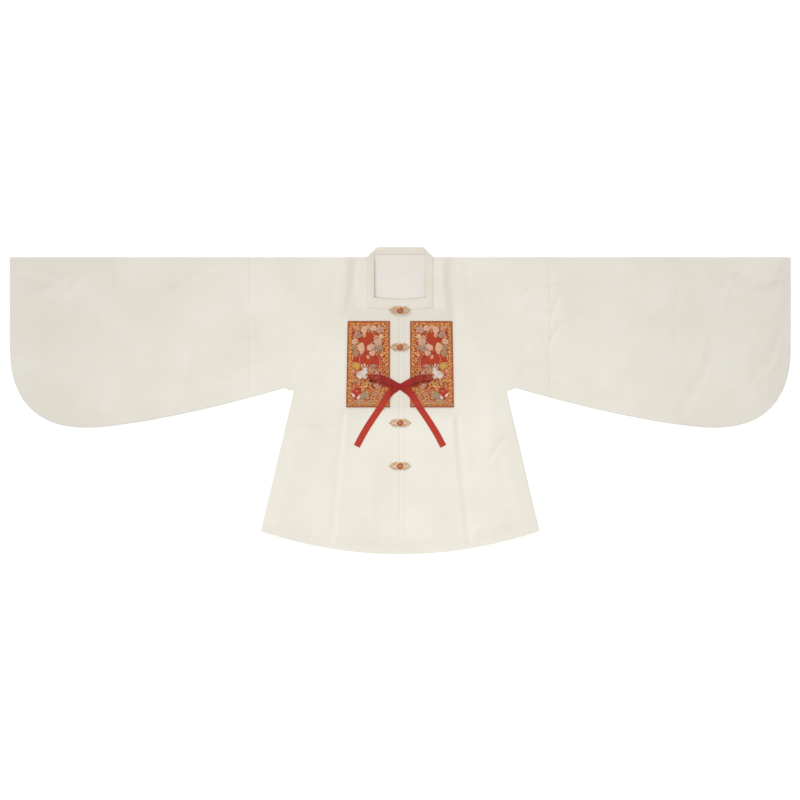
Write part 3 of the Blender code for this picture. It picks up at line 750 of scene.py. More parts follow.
def sleeve_plans():
    """A patch between four sides, whose outer lower corner is halfway round the sleeve's end."""
    start = SLEEVE_JOIN_X + JOIN_GAP
    corner_angle = 0.80
    corner = round_end_point(corner_angle)
    near = [start + width for width in JOIN_COLUMNS]
    columns = stations((start, *near, HALF_SPAN), CLOTH_STEP)
    arc = [round_end_point(angle) for angle in np.linspace(corner_angle, math.pi / 2, 60)]
    rows_above = round((SHOULDER_Y - CUFF_LOW_Y) / CLOTH_STEP)
    rows_round = 34
    cuff_line = [(HALF_SPAN, y) for y in np.linspace(CUFF_LOW_Y, SHOULDER_Y, rows_above + 1)]
    right = np.vstack([evenly(arc, rows_round + 1), cuff_line[1:]])
    down = np.linspace(0.0, 1.0, len(right))
    left = np.column_stack([np.full(len(right), start), blend(underside_y(start), SHOULDER_Y, down)])
    plan = {}
    for column, top_x in enumerate(columns):
        share = (top_x - start) / (HALF_SPAN - start)
        low_x = blend(start, corner[0], share)
        low = np.array([low_x, lower_edge_y(low_x)])
        high = np.array([top_x, SHOULDER_Y])
        for row, up in enumerate(down):
            sides = blend(low, high, up) + blend(left[row], right[row], share)
            corners = blend(blend(left[0], right[0], share), blend(left[-1], right[-1], share), up)
            plan[column, row] = tuple(sides - corners)
    cuff, top = len(columns) - 1, len(down) - 1
    seam_turn = [(column, 0) for column in range(cuff + 1)]
    seam_turn += [(cuff, row) for row in range(1, rows_round + 1)]
    shoulder_turn = [(column, top) for column in range(cuff, -1, -1)]
    return plan, plan, [seam_turn, shoulder_turn]


def inward_normals(line):
    """Unit normals to the left of a line of points."""
    line = np.asarray(line, dtype=float)
    run = np.gradient(line, axis=0)
    length = np.hypot(run[:, 0], run[:, 1])
    return np.column_stack([-run[:, 1] / length, run[:, 0] / length])


def folded_cloth(name, plans, side, outer, inner):
    """A front over a back, joined along round turns, with the inside of the wall and its rims."""
    front, back, turns = plans
    on_turns = {key for turn in turns for key in turn}
    points, within, faces = [], [], []

    def layer(plan, height, wall):
        keys = [key for key in plan if key not in on_turns]
        places = np.array([plan[key] for key in keys])
        x, y = side * places[:, 0], places[:, 1]
        z = height(x, y)
        index = {key: len(points) + number for number, key in enumerate(keys)}
        points.extend(zip(x, y, z))
        within.extend(zip(x, y, z + wall))
        return index

    upper, lower = layer(front, cloth_top, -WALL), layer(back, cloth_bottom, WALL)
    angles = np.radians([90.0, 60.0, 30.0, 0.0, -30.0, -60.0, -90.0])
    rings = {}
    for turn in turns:
        line = [front[key] for key in turn]
        for key, place, normal in zip(turn, line, inward_normals(line)):
            rings[key] = list(range(len(points), len(points) + len(angles)))
            upper[key], lower[key] = rings[key][0], rings[key][-1]
            for store, radius in ((points, ROLL), (within, ROLL - WALL)):
                for angle in angles:
                    inset = ROLL - radius * math.cos(angle)
                    store.append((side * (place[0] + normal[0] * inset), place[1] + normal[1] * inset,
                                  ROLL + radius * math.sin(angle)))

    def add_face(corners, up):
        faces.append(tuple(corners if up == (side > 0) else corners[::-1]))

    for plan, index, up in ((front, upper, True), (back, lower, False)):
        for column, row in plan:
            keys = [(column, row), (column + 1, row), (column + 1, row + 1), (column, row + 1)]
            if all(key in plan for key in keys):
                add_face([index[key] for key in keys], up)
    for turn in turns:
        for here, there in zip(turn, turn[1:]):
            for step in range(len(angles) - 1):
                add_face([rings[there][step], rings[here][step],
                          rings[here][step + 1], rings[there][step + 1]], True)
    item = add_mesh(name, points + within, faces + inside_and_rims(faces, len(points)), outer, inner)
    inside = np.zeros(len(item.data.polygons), dtype=np.int32)
    inside[len(faces):2 * len(faces)] = 1
    item.data.polygons.foreach_set("material_index", inside)
    item.data.shade_smooth()
    item.data.set_sharp_from_angle(angle=math.radians(EDGE_ANGLE))
    return item


def inside_and_rims(faces, count):
    """The same faces turned over, count points further on, and strips along the open edges."""
    edges = set()
    for face in faces:
        edges.update(zip(face, face[1:] + face[:1]))
    rims = [(end, start, start + count, end + count)
            for start, end in sorted(edges) if (end, start) not in edges]
    return [tuple(corner + count for corner in face[::-1]) for face in faces] + rims


# ---- the collar --------------------------------------------------------------------------
BAND_MARGINS = (0.0022, 0.0060)  # rows of stitches, from the outer and the inner edge


def band_outline(width, wall):
    """Section of a folded band: (across, up) with a thin outer edge and a rounded inner one."""
    radius = wall / 2
    section = [(width - 0.0002, 0.0), (width, 0.16 * wall), (width - 0.0009, 0.50 * wall),
               (width - 0.0018, 0.78 * wall)]
    for inset, dent in ((BAND_MARGINS[0], 0.00026), (0.0032, 0.0), (0.5 * width, -0.0001)):
        section.append((width - inset, wall - dent))
    for inset, dent in ((0.0070, 0.0), (BAND_MARGINS[1], 0.00024), (0.0050, 0.0), (0.0025, -0.0001)):
        section.append((inset, wall - dent))
    for angle in np.linspace(math.pi / 2, 3 * math.pi / 2, 7):
        section.append((radius + radius * math.cos(angle), radius + radius * math.sin(angle)))
    return section


def swept_band(name, keys, wall, finish, side):
    """keys are rows of inner x, inner y, outer x, outer y and bottom height, along the band."""
    keys = np.asarray(keys, dtype=float)
    lengths = np.hypot(*(np.diff(keys[:, 0:2], axis=0) + np.diff(keys[:, 2:4], axis=0)).T) / 2
    at = running_total(lengths)
    spots = stations(tuple(at), BAND_STEP)
    rows = np.column_stack([np.interp(spots, at, keys[:, column]) for column in range(5)])
    points = []
    for inner_x, inner_y, outer_x, outer_y, bottom in rows:
        width = math.hypot(outer_x - inner_x, outer_y - inner_y)
        ripple = 0.00012 * math.sin(240.0 * (inner_x + inner_y))
        for across, up in band_outline(width, wall):
            share = across / width
            points.append((side * blend(inner_x, outer_x, share), blend(inner_y, outer_y, share),
                           bottom + up + ripple * up / wall))
    count = len(points) // len(rows)
    item = add_mesh(name, points, tube_faces(len(rows), count) + tube_ends(len(points), count), finish)
    face_outwards(item.data)
    return settled(item, SOFT_EDGE_ANGLE), rows


def face_outwards(mesh):
    work = bmesh.new()
    work.from_mesh(mesh)
    bmesh.ops.recalc_face_normals(work, faces=work.faces)
    work.to_mesh(mesh)
    work.free()


def back_mitre():
    middle = [blend(BAND_SHOULDER[axis], BAND_TOP[axis], BACK_MITRE_SHARE) for axis in (0, 1)]
    return (NECK_X, NECK_BACK_Y), tuple(middle)


def side_band_keys():
    drop = NECK_FRONT_Y - BAND_FRONT_Y
    low_y = NECK_FRONT_Y + NECK_BOW + JOIN_GAP
    keys = [(NECK_X, low_y, BAND_SIDE_X, low_y - drop, rest(BAND_SIDE_X, low_y))]
    for share, y in ((0.5, 0.243), (0.2, 0.2475), (0.0, 0.253), (0.0, 0.286), (0.0, 0.310), (0.0, 0.321)):
        keys.append((NECK_X, y, BAND_SIDE_X, y - drop * share, rest(BAND_SIDE_X, y)))
    keys.append((NECK_X, BAND_SHOULDER[1], *BAND_SHOULDER, FRONT_TOP + SEAM))
    inner, outer = back_mitre()
    keys.append((inner[0] + SEAM, inner[1], outer[0] + SEAM, outer[1], WALL + SEAM))
    return keys


def rest(x, y):
    return float(rest_top(np.float64(x), np.float64(y)))


def front_band_keys():
    keys = []
    for share in np.linspace(0.0, 1.0, 8):
        bow = NECK_BOW * share ** 2
        keys.append((blend(CENTRE_X, NECK_X, share), NECK_FRONT_Y + bow,
                     blend(CENTRE_X, BAND_SIDE_X, share), BAND_FRONT_Y + bow,
                     rest(NECK_CUT[0], BAND_FRONT_Y)))
    return keys


def back_band_keys():
    inner, outer = back_mitre()
    keys = [(-inner[0], inner[1], -outer[0], outer[1], 0.0),
            (-BAND_TOP[0] - 0.001, inner[1], -BAND_TOP[0], BAND_TOP[1], 0.0)]
    return keys + [(-row[0], row[1], -row[2], row[3], row[4]) for row in keys[::-1]]


# ---- geometry trees ----------------------------------------------------------------------
def new_tree(name, inputs):
    tree = bpy.data.node_groups.new(name, "GeometryNodeTree")
    tree.interface.new_socket("Geometry", in_out="INPUT", socket_type="NodeSocketGeometry")
    for label in inputs:
        tree.interface.new_socket(label, in_out="INPUT", socket_type="NodeSocketFloat")
    tree.interface.new_socket("Material", in_out="INPUT", socket_type="NodeSocketMaterial")
    tree.interface.new_socket("Geometry", in_out="OUTPUT", socket_type="NodeSocketGeometry")
    graph = Graph(tree)
    source = tree.nodes.new("NodeGroupInput")
    given = {socket.name: Socket(graph, socket) for socket in source.outputs if socket.name}
    return graph, given


def end_tree(graph, geometry, material):
    whole = graph.node("GeometryNodeRealizeInstances", values={0: geometry})
    painted = graph.node("GeometryNodeSetMaterial", values={"Geometry": whole, "Material": material})
    target = graph.tree.nodes.new("NodeGroupOutput")
    graph.feed(target.inputs[0], painted)
    return graph.tree


def stitch_tree():
    """Stitches along the edges of a mesh, each a small spindle turned to its line."""
    graph, given = new_tree("stitches", ("Pitch", "Length", "Width", "Height", "Slant"))
    lines = graph.node("GeometryNodeMeshToCurve", values={"Mesh": given["Geometry"]})
    spots = graph.node("GeometryNodeResampleCurve", {"mode": "LENGTH"},
                       {"Curve": lines, "Length": given["Pitch"]})
    spindle = graph.node("GeometryNodeMeshUVSphere", values={"Segments": 6, "Rings": 5, "Radius": 0.5})
    tangent = graph.node("GeometryNodeInputTangent")
    along = graph.node("FunctionNodeAlignRotationToVector", {"axis": "X"}, {"Vector": tangent})
    slant = graph.node("FunctionNodeEulerToRotation",
                       values={0: graph.node("ShaderNodeCombineXYZ", values={"Z": given["Slant"]})})
    leaning = graph.node("FunctionNodeRotateRotation", {"rotation_space": "LOCAL"},
                         {"Rotation": along, "Rotate By": slant})
    size = graph.node("ShaderNodeCombineXYZ",
                      values={"X": given["Length"], "Y": given["Width"], "Z": given["Height"]})
    placed = graph.node("GeometryNodeInstanceOnPoints",
                        values={"Points": spots, "Instance": spindle, "Rotation": leaning, "Scale": size})
    return end_tree(graph, placed, given["Material"])


def wire_tree():
    """Round wires along a mesh's edges, and a grain on each of its single points."""
    graph, given = new_tree("filigree", ("Sides",))
    lines = graph.node("GeometryNodeMeshToCurve", values={"Mesh": given["Geometry"]})
    sides = graph.node("FunctionNodeFloatToInt", values={0: given["Sides"]})
    ring = graph.node("GeometryNodeCurvePrimitiveCircle", values={"Resolution": sides, "Radius": 1.0})
    reach = graph.node("GeometryNodeInputNamedAttribute", {"data_type": "FLOAT"}, {"Name": "reach"})
    wires = graph.node("GeometryNodeCurveToMesh", values={"Curve": lines, "Profile Curve": ring,
                                                          "Scale": reach, "Fill Caps": True})
    size = graph.node("GeometryNodeInputNamedAttribute", {"data_type": "FLOAT"}, {"Name": "grain"})
    single = graph.node("FunctionNodeCompare", {"operation": "GREATER_THAN"}, {0: size, 1: 0.0})
    spots = graph.node("GeometryNodeMeshToPoints", values={"Mesh": given["Geometry"], "Selection": single})
    ball = graph.node("GeometryNodeMeshUVSphere", values={"Segments": 8, "Rings": 6, "Radius": 1.0})
    grains = graph.node("GeometryNodeInstanceOnPoints",
                        values={"Points": spots, "Instance": ball, "Scale": size})
    both = graph.tree.nodes.new("GeometryNodeJoinGeometry")
    for part in (grains, wires):
        graph.feed(both.inputs[0], part)
    return end_tree(graph, Socket(graph, both.outputs[0]), given["Material"])


def run_tree(item, tree, material, sizes):
    """Gives the object what the tree makes from its mesh."""
    maker = item.modifiers.new("maker", "NODES")
    maker.node_group = tree
    wanted = {**sizes, "Material": material}
    for socket in tree.interface.items_tree:
        if socket.in_out == "INPUT" and socket.name in wanted:
            maker[socket.identifier] = wanted[socket.name]
    return settled(item)


def sewn(name, lines, tree, material, pitch, size, slant=0.0):
    """Stitches along lines of points. size is a stitch's length, width and height."""
    points, edges = [], []
    for line in lines:
        edges += [(len(points) + step, len(points) + step + 1) for step in range(len(line) - 1)]
        points += [tuple(point) for point in line]
    item = add_mesh(name, points, [], edges=edges)
    sizes = {"Pitch": pitch, "Length": size[0], "Width": size[1], "Height": size[2], "Slant": slant}
    return run_tree(item, tree, material, sizes)


# ---- the embroidered panels --------------------------------------------------------------
PANEL_WIDTH = PANEL_OUTER_X[0] - PANEL_INNER_X
PANEL_LENGTH = PANEL_Y[1] - PANEL_Y[0]
BORDER = 0.0115


def on_panel(side, across, up, lift):
    """Places of panel measures, from the inner edge and the bottom, as rows of x, y and z."""
    share = up / PANEL_LENGTH
    outer = blend(PANEL_OUTER_X[0], PANEL_OUTER_X[1], share)
    x = side * blend(PANEL_INNER_X, outer, across / PANEL_WIDTH)
    y = PANEL_Y[0] + up
    return np.column_stack([x, y, rest_top(x, y) + SEAM + PANEL_WALL + lift])


def panel_ground(name, side, finish):
    across, up = (np.array(stations((0.0, size), PANEL_STEP)) for size in (PANEL_WIDTH, PANEL_LENGTH))
    wide, high = np.meshgrid(across, up, indexing="ij")
    wide, high = wide.ravel(), high.ravel()
    edge = np.minimum(np.minimum(wide, PANEL_WIDTH - wide), np.minimum(high, PANEL_LENGTH - high))
    lift = 0.00008 * np.sin(wide * 700.0) * np.sin(high * 520.0) - 0.00045 * (1.0 - smooth(edge / 0.0028))
    points = on_panel(side, wide, high, lift)
    item = add_mesh(name, points, grid_faces(len(across), len(up), side < 0), finish)
    set_lay(item.data, "panel_lay", np.column_stack([wide, high]))
    return settled(give_wall(item, PANEL_WALL), EDGE_ANGLE)


class Needlework:
    """Stitched patches and cords on one panel, in millimetres from its inner edge and its bottom."""

    PITCH = 0.42             # from thread to thread

    def __init__(self, side):
        self.side = side
        self.places, self.faces, self.colours, self.lays = [], [], [], []

    def add(self, places, faces, colours, lays):
        start = len(self.places)
        self.places += places
        self.colours += colours
        self.lays += lays
        self.faces += [tuple(start + corner for corner in face) for face in faces]

    def patch(self, outline, middle, height, inner, outer, angle=0.0, base=0.0, shares=(0.5, 0.85, 1.0)):
        """A padded patch inside an outline that runs counter-clockwise round its middle."""
        cosine, sine = math.cos(angle), math.sin(angle)
        count = len(outline)
        places, colours, lays = [], [], []
        for share in (0.0,) + shares:
            rise = base + height * math.sqrt(max(1.0 - share ** 2, 0.0)) - (0.15 if share == 1.0 else 0.0)
            ring = outline if share else [middle]
            for a, b in ring:
                a, b = blend(middle[0], a, share), blend(middle[1], b, share)
                places.append((a, b, rise))
                colours.append([blend(x, y, share) for x, y in zip(inner, outer)])
                lays.append(((b * cosine - a * sine) / self.PITCH, (a * cosine + b * sine) / self.PITCH))
        faces = []
        for index in range(count):
            ahead = (index + 1) % count
            faces.append((0, 1 + index, 1 + ahead))
            for ring in range(len(shares) - 1):
                low = 1 + ring * count
                faces.append((low + index, low + count + index, low + count + ahead, low + ahead))
        faces.append(tuple(1 + (len(shares) - 1) * count + index for index in reversed(range(count))))
        self.add(places, faces, colours, lays)

    def disc(self, middle, radius, count, height, inner, outer, angle=0.0, base=0.0):
        """A round padded patch."""
        self.patch(disc_outline(middle, radius, radius, count), middle, height, inner, outer, angle, base)

    def cord(self, path, widths, height, colour, tip=None, base=0.0):
        """A couched cord or a narrow satin line along a path, with its half widths."""
        path = np.asarray(path, dtype=float)
        widths = np.broadcast_to(np.asarray(widths, dtype=float), (len(path),))
        normals = inward_normals(path)
        run = running_total(np.hypot(*np.diff(path, axis=0).T))
        section = ((-1.0, -0.15), (-0.6, 0.75), (0.0, 1.0), (0.6, 0.75), (1.0, -0.15))
        places, colours, lays = [], [], []
        for step, (place, normal, width) in enumerate(zip(path, normals, widths)):
            share = step / (len(path) - 1)
            for offset, rise in section:
                places.append((place[0] + normal[0] * offset * width,
                               place[1] + normal[1] * offset * width, base + height * rise))
                colours.append([blend(x, y, share) for x, y in zip(colour, tip or colour)])
                lays.append(((run[step] + offset * width * 0.6) / self.PITCH, offset))
        faces = tube_faces(len(path), len(section)) + tube_ends(len(places), len(section))
        self.add(places, [face[::-1] for face in faces], colours, lays)

    def finished(self, name, material):
        places = np.array(self.places) * MM
        points = on_panel(self.side, places[:, 0], places[:, 1], places[:, 2])
        faces = self.faces if self.side > 0 else [face[::-1] for face in self.faces]
        item = add_mesh(name, points, faces, material)
        set_lay(item.data, "thread_lay", self.lays)
        layer = item.data.color_attributes.new("thread_colour", "FLOAT_COLOR", "POINT")
        layer.data.foreach_set("color", np.array(self.colours, dtype=np.float32).ravel())
        item.data.shade_smooth()
        return item


CREAM, PALE_PINK, PINK = dye(240, 206, 170), dye(234, 180, 152), dye(230, 134, 108)
MAUVE, GREY, GREY_GREEN = dye(196, 150, 140), dye(180, 152, 128), dye(172, 154, 110)
OLIVE, YELLOW, GOLD, PALE_GOLD = dye(164, 120, 60), dye(228, 184, 84), dye(240, 172, 90), dye(254, 214, 146)
ORANGE, RED, DARK_RED, WHITE = dye(222, 124, 66), dye(194, 60, 42), dye(126, 38, 28), dye(252, 240, 230)
BROWN = dye(120, 70, 36)


def drop_outline(place, length, width, angle, notch=0.0, count=14, fullness=0.45):
    """A petal from its foot at place, wider towards its tip. Gives its outline and its middle."""
    outline = []
    for step in range(count):
        turn = 2 * math.pi * step / count
        along = length * (0.5 - 0.5 * math.cos(turn))
        if notch:
            along -= notch * length * math.exp(-((turn - math.pi) / 0.4) ** 2)
        across = -width / 2 * math.sin(turn) * (1.0 - fullness + 2 * fullness * along / length)
        outline.append(turned(place, along, across, angle))
    return outline, polar(place, 0.55 * length, angle)


def disc_outline(place, radius_a, radius_b, count, lobes=0, depth=0.0, turn=0.0):
    outline = []
    for step in range(count):
        angle = 2 * math.pi * step / count
        reach = 1.0 - depth * (0.5 - 0.5 * math.cos(lobes * angle + turn))
        outline.append((place[0] + radius_a * reach * math.cos(angle),
                        place[1] + radius_b * reach * math.sin(angle)))
    return outline


def blossom(work, a, b, radius, tip, foot, heart, petals, turn):
    """Two rounds of petals, a heart and its ring of pale knots."""
    for round_, (share, lift) in enumerate(((1.0, 0.0), (0.62, 0.35))):
        for petal in range(petals):
            angle = turn + 2 * math.pi * (petal + 0.5 * round_) / petals
            width = 1.6 * radius * share * math.sin(math.pi / petals)
            reach = radius * share * (1.08 + 0.18 * math.sin(3.7 * petal + a + b))
            outline, middle = drop_outline((a, b), reach, width, angle, 0.12, 12)
            work.patch(outline, middle, 0.5, foot, tip, angle, 0.25 + lift)
    work.disc((a, b), radius * 0.19, 8, 0.5, heart, heart, 0.7, 0.9)
    for knot in range(petals):
        spot = polar((a, b), 0.36 * radius, turn + 2 * math.pi * (knot + 0.25) / petals)
        work.disc(spot, 0.42, 6, 0.4, PALE_GOLD, GOLD, 0.0, 0.95)


def leaf(work, a, b, length, width, angle, colour, rib, base):
    """A pointed leaf of two slanted halves with a rib."""
    shares = np.linspace(0.0, 1.0, 7)

    def spot(along, across):
        return turned((a, b), along, across, angle)

    bulge = [width / 2 * math.sin(math.pi * share ** 0.8) for share in shares]
    for half in (1, -1):
        rim = [spot(length * share, half * across) for share, across in zip(shares, bulge)]
        ribs = [spot(length * share, 0.0) for share in shares[1:-1]]
        outline = (rim + ribs[::-1])[::-half]
        middle = spot(0.5 * length, half * width * 0.24)
        work.patch(outline, middle, 0.35, colour, colour, angle + half * 0.8, base)
    work.cord([spot(length * share, 0.0) for share in (0.0, 0.5, 0.95)], (0.28, 0.24, 0.1), 0.5, rib,
              base=base)


def curl(work, a, b, size, start, turns, colour, width, hand, tip=None):
    """A spiral of couched cord that opens out from its eye."""
    path, widths = [], []
    for step in range(15):
        share = step / 14
        path.append(polar((a, b), size * (0.15 + 0.85 * share), start + hand * 2 * math.pi * turns * share))
        widths.append(width * (0.6 + 0.4 * math.sin(math.pi * step / 14)))
    work.cord(path, widths, 0.55, colour, tip, base=0.25)


def cloud(work, a, b, size, fill, edge, hand):
    """Three round lobes with curled outlines, and a trailing end."""
    lobes = ((0.0, 0.0, 0.55), (0.62, -0.12, 0.42), (-0.58, -0.14, 0.44))
    for off_a, off_b, share in lobes:
        spot = (a + hand * off_a * size, b + off_b * size)
        work.patch(disc_outline(spot, size * share, size * share * 0.86, 12), spot, 0.4, fill, fill, 0.1)
        curl(work, spot[0], spot[1], size * share * 0.8, 2.6, 0.85, edge, 0.38, hand)
    tail = [(a - hand * 0.9 * size, b - 0.25 * size), (a - hand * 1.3 * size, b - 0.42 * size),
            (a - hand * 1.75 * size, b - 0.34 * size)]
    work.cord(smooth_line(tail, 8), np.linspace(0.9, 0.2, 8), 0.4, fill, edge)


def rock(work, a, b, width, height, fills, edge, draw):
    """Upright lobes of stone side by side, taller in the middle."""
    lobes = 4
    for index in range(lobes):
        share = (index + 0.5) / lobes
        tall = height * (0.55 + 0.45 * math.sin(math.pi * share)) * draw.uniform(0.85, 1.1)
        spot = (a + (share - 0.5) * width, b + tall * 0.5)
        outline = disc_outline(spot, width * 0.19, tall * 0.5, 12, 3, 0.18, draw.uniform(0, 6))
        work.patch(outline, spot, 0.5, fills[index % len(fills)], fills[(index + 1) % len(fills)], 1.4,
                   0.08 * index)
        work.cord(outline + outline[:1], 0.22, 0.45, edge, base=0.05 + 0.08 * index)


def wave(work, a, b, radius, colours, base):
    """Half rings inside each other, like a scale."""
    for ring, colour in enumerate(colours):
        reach = radius * (1.0 - 0.24 * ring)
        path = [(a + reach * math.cos(angle), b + reach * 1.05 * math.sin(angle))
                for angle in np.linspace(-0.1, math.pi + 0.1, 11)]
        work.cord(path, radius * 0.105, 0.5, colour, base=base)
    work.disc((a, b + radius * 0.08), radius * 0.16, 8, 0.4, colours[0], colours[0], 0.0, base)


def rabbit(work, a, b, size):
    """A white rabbit that sits and looks back, about size wide."""
    def spot(off_a, off_b):
        return a + off_a * size, b + off_b * size

    shade = dye(222, 206, 196)
    pieces = (                # middle, half width, half height, fur angle
        ((0.06, -0.10), 0.40, 0.34, 1.1),
        ((-0.20, 0.12), 0.24, 0.27, 1.5),
        ((0.20, -0.22), 0.25, 0.22, 0.4),
        ((-0.26, -0.34), 0.13, 0.12, 0.2),
    )
    for number, (middle, half_a, half_b, angle) in enumerate(pieces):
        outline = disc_outline(spot(*middle), half_a * size, half_b * size, 18)
        work.patch(outline, spot(*middle), 0.9, WHITE, shade, angle, 0.1 * number)
    head = spot(-0.24, 0.34)
    work.patch(disc_outline(head, 0.19 * size, 0.165 * size, 16), head, 0.9, WHITE, shade, 0.2, 0.45)
    for tip_a, tip_b, lean in ((-0.22, 0.40, 1.45), (-0.10, 0.38, 1.05)):
        outline, middle = drop_outline(spot(tip_a, tip_b), 0.42 * size, 0.13 * size, lean, 0.0, 14, 0.2)
        work.patch(outline, middle, 0.6, WHITE, WHITE, lean, 0.5)
        outline, middle = drop_outline(spot(tip_a + 0.01, tip_b + 0.05), 0.30 * size, 0.05 * size, lean,
                                       0.0, 10, 0.2)
        work.patch(outline, middle, 0.5, BROWN, DARK_RED, lean, 0.95)
    eye, nose, puff = spot(-0.29, 0.37), spot(-0.42, 0.30), spot(0.45, -0.14)
    work.disc(eye, 0.030 * size, 8, 0.4, DARK_RED, DARK_RED, 0.0, 1.25)
    work.disc(nose, 0.025 * size, 6, 0.3, PINK, PINK, 0.0, 0.9)
    work.patch(disc_outline(puff, 0.10 * size, 0.10 * size, 10, 5, 0.2), puff, 0.7, WHITE, shade, 0.9)
    haunch = [spot(0.02, -0.30), spot(0.02, -0.08), spot(0.20, 0.02), spot(0.36, -0.10)]
    work.cord(smooth_line(haunch, 10), 0.22, 0.4, GREY, base=0.9)


Blossom = namedtuple("Blossom", "across up radius tip foot heart petals turn")
BLOSSOMS = [Blossom(*row) for row in (
    (22.5, 178.5, 8.6, MAUVE, PALE_PINK, BROWN, 5, 0.2), (38, 181.5, 7.4, CREAM, PALE_PINK, GOLD, 5, 0.9),
    (60.5, 178, 8.6, CREAM, PALE_PINK, GOLD, 6, 0.4), (50, 185, 5, PALE_PINK, CREAM, BROWN, 5, 0.1),
    (75, 167, 8.2, MAUVE, GREY, BROWN, 5, 0.1), (79, 182, 5.6, PINK, PALE_PINK, GOLD, 5, 0.7),
    (60, 164.5, 4.2, CREAM, PINK, ORANGE, 5, 0.3), (19.5, 163, 5.6, PALE_GOLD, CREAM, ORANGE, 5, 1.1),
    (33, 159.5, 5.6, MAUVE, PALE_PINK, ORANGE, 5, 0.6), (26.5, 150.5, 9.2, CREAM, MAUVE, GOLD, 6, 0),
    (32.5, 135.5, 9.2, GREY, MAUVE, BROWN, 6, 0.5), (20.5, 136, 5.6, GREY, GREY_GREEN, PINK, 5, 0.1),
    (45, 137.5, 8, CREAM, PALE_PINK, GOLD, 5, 0.2), (67.5, 138, 9.6, CREAM, PALE_PINK, GOLD, 6, 0.8),
    (66, 127.5, 5.8, PALE_PINK, CREAM, ORANGE, 5, 0.2), (82.5, 151, 7.2, PALE_PINK, CREAM, RED, 5, 0),
    (84.5, 138, 6.2, GREY_GREEN, GREY, GOLD, 5, 0.6), (79.5, 125, 7, GREY, GREY_GREEN, PINK, 5, 0.3),
    (40.5, 124, 6.8, CREAM, PALE_PINK, ORANGE, 5, 0), (50.5, 115, 4.8, PINK, CREAM, BROWN, 5, 0.9),
    (18.5, 120, 4.8, PINK, PALE_GOLD, GOLD, 5, 0.2), (86, 82, 5.4, PINK, PALE_PINK, PALE_GOLD, 5, 0.5),
    (30, 75, 6, PALE_PINK, MAUVE, BROWN, 5, 0.4), (44, 66.5, 5, MAUVE, PALE_PINK, DARK_RED, 5, 0.4),
    (30, 49, 5.8, MAUVE, PALE_PINK, DARK_RED, 5, 0), (85, 42, 5, PINK, RED, GOLD, 5, 0.8),
    (62, 43, 4.6, PALE_PINK, PINK, GOLD, 5, 0.2),
)]
LEAVES = (                   # across, up, length, width, angle, colour and rib
    (28, 186, 7, 3, -0.9, OLIVE, GOLD), (46, 184, 8, 3.2, -0.3, DARK_RED, ORANGE),
    (47, 176, 7, 3.2, -1.2, GREY_GREEN, GOLD), (68, 184.5, 7, 3, -0.2, OLIVE, GOLD),
    (68, 173, 6, 3, -2.2, DARK_RED, ORANGE), (27, 169, 8, 3, -0.2, DARK_RED, ORANGE),
    (26, 157, 8, 3.2, 0.3, GREY_GREEN, GOLD), (16, 154, 6, 3, 1.9, OLIVE, GOLD),
    (34, 146, 8, 3.2, 0.1, DARK_RED, ORANGE), (17, 138, 7, 3, -1.9, OLIVE, GOLD),
    (35, 128, 6, 2.8, -0.1, GREY_GREEN, GOLD), (50, 133, 7, 3, -0.8, OLIVE, GOLD),
    (60, 128, 7, 3, -2.3, DARK_RED, ORANGE), (73, 143, 6, 2.8, 1.4, GREY_GREEN, GOLD),
    (73, 157, 6, 2.8, 2.9, DARK_RED, ORANGE), (86, 159, 6, 3, -1.8, OLIVE, GOLD),
    (71, 127, 6, 2.8, -2, DARK_RED, ORANGE), (84, 128, 7, 3, -1.3, OLIVE, GOLD),
    (22, 122, 7, 3, 0.4, OLIVE, GOLD), (31, 117, 7, 3, -0.6, DARK_RED, ORANGE),
    (80, 78, 7, 3, -2, DARK_RED, ORANGE), (86, 92, 6, 3, -1.5, OLIVE, GOLD),
    (40, 70, 7, 3, -0.5, DARK_RED, ORANGE), (26, 80, 7, 3, 2.6, OLIVE, GOLD),
    (37, 53, 7, 3, 0.7, OLIVE, GOLD), (52, 46, 7, 3, 2.4, DARK_RED, ORANGE),
    (75, 43, 7, 3, 2.7, OLIVE, GOLD), (75.5, 16.5, 14, 5.6, 2.15, WHITE, PALE_PINK),
    (80, 22, 14, 5.6, 0.89, WHITE, PALE_PINK), (79, 34, 9, 3.8, 2.6, PINK, PALE_PINK),
    (86, 40, 8, 3.6, 1.9, PINK, PALE_PINK), (70, 45, 8, 3.6, -0.5, DARK_RED, RED),
)


OPEN_GROUND = (              # where the red ground shows between the flowers
    ((80.0, 155.0), (67.0, 163.0), (56.0, 166.0), (50.0, 175.0), (42.0, 168.0), (33.5, 158.0),
     (44.0, 145.0), (56.5, 130.0), (66.0, 143.0)),
    ((89.0, 104.0), (84.0, 113.0), (70.0, 123.0), (56.0, 130.0), (30.0, 121.0), (22.0, 112.0),
     (21.0, 88.0), (35.0, 95.0), (70.0, 101.0)),
    ((86.0, 46.0), (66.0, 42.0), (66.0, 30.0), (78.0, 20.0), (88.0, 26.0)),
)


def is_inside(a, b, corners):
    inside = False
    for (a0, b0), (a1, b1) in zip(corners, corners[1:] + corners[:1]):
        if (b0 > b) != (b1 > b) and a < a0 + (b - b0) * (a1 - a0) / (b1 - b0):
            inside = not inside
    return inside


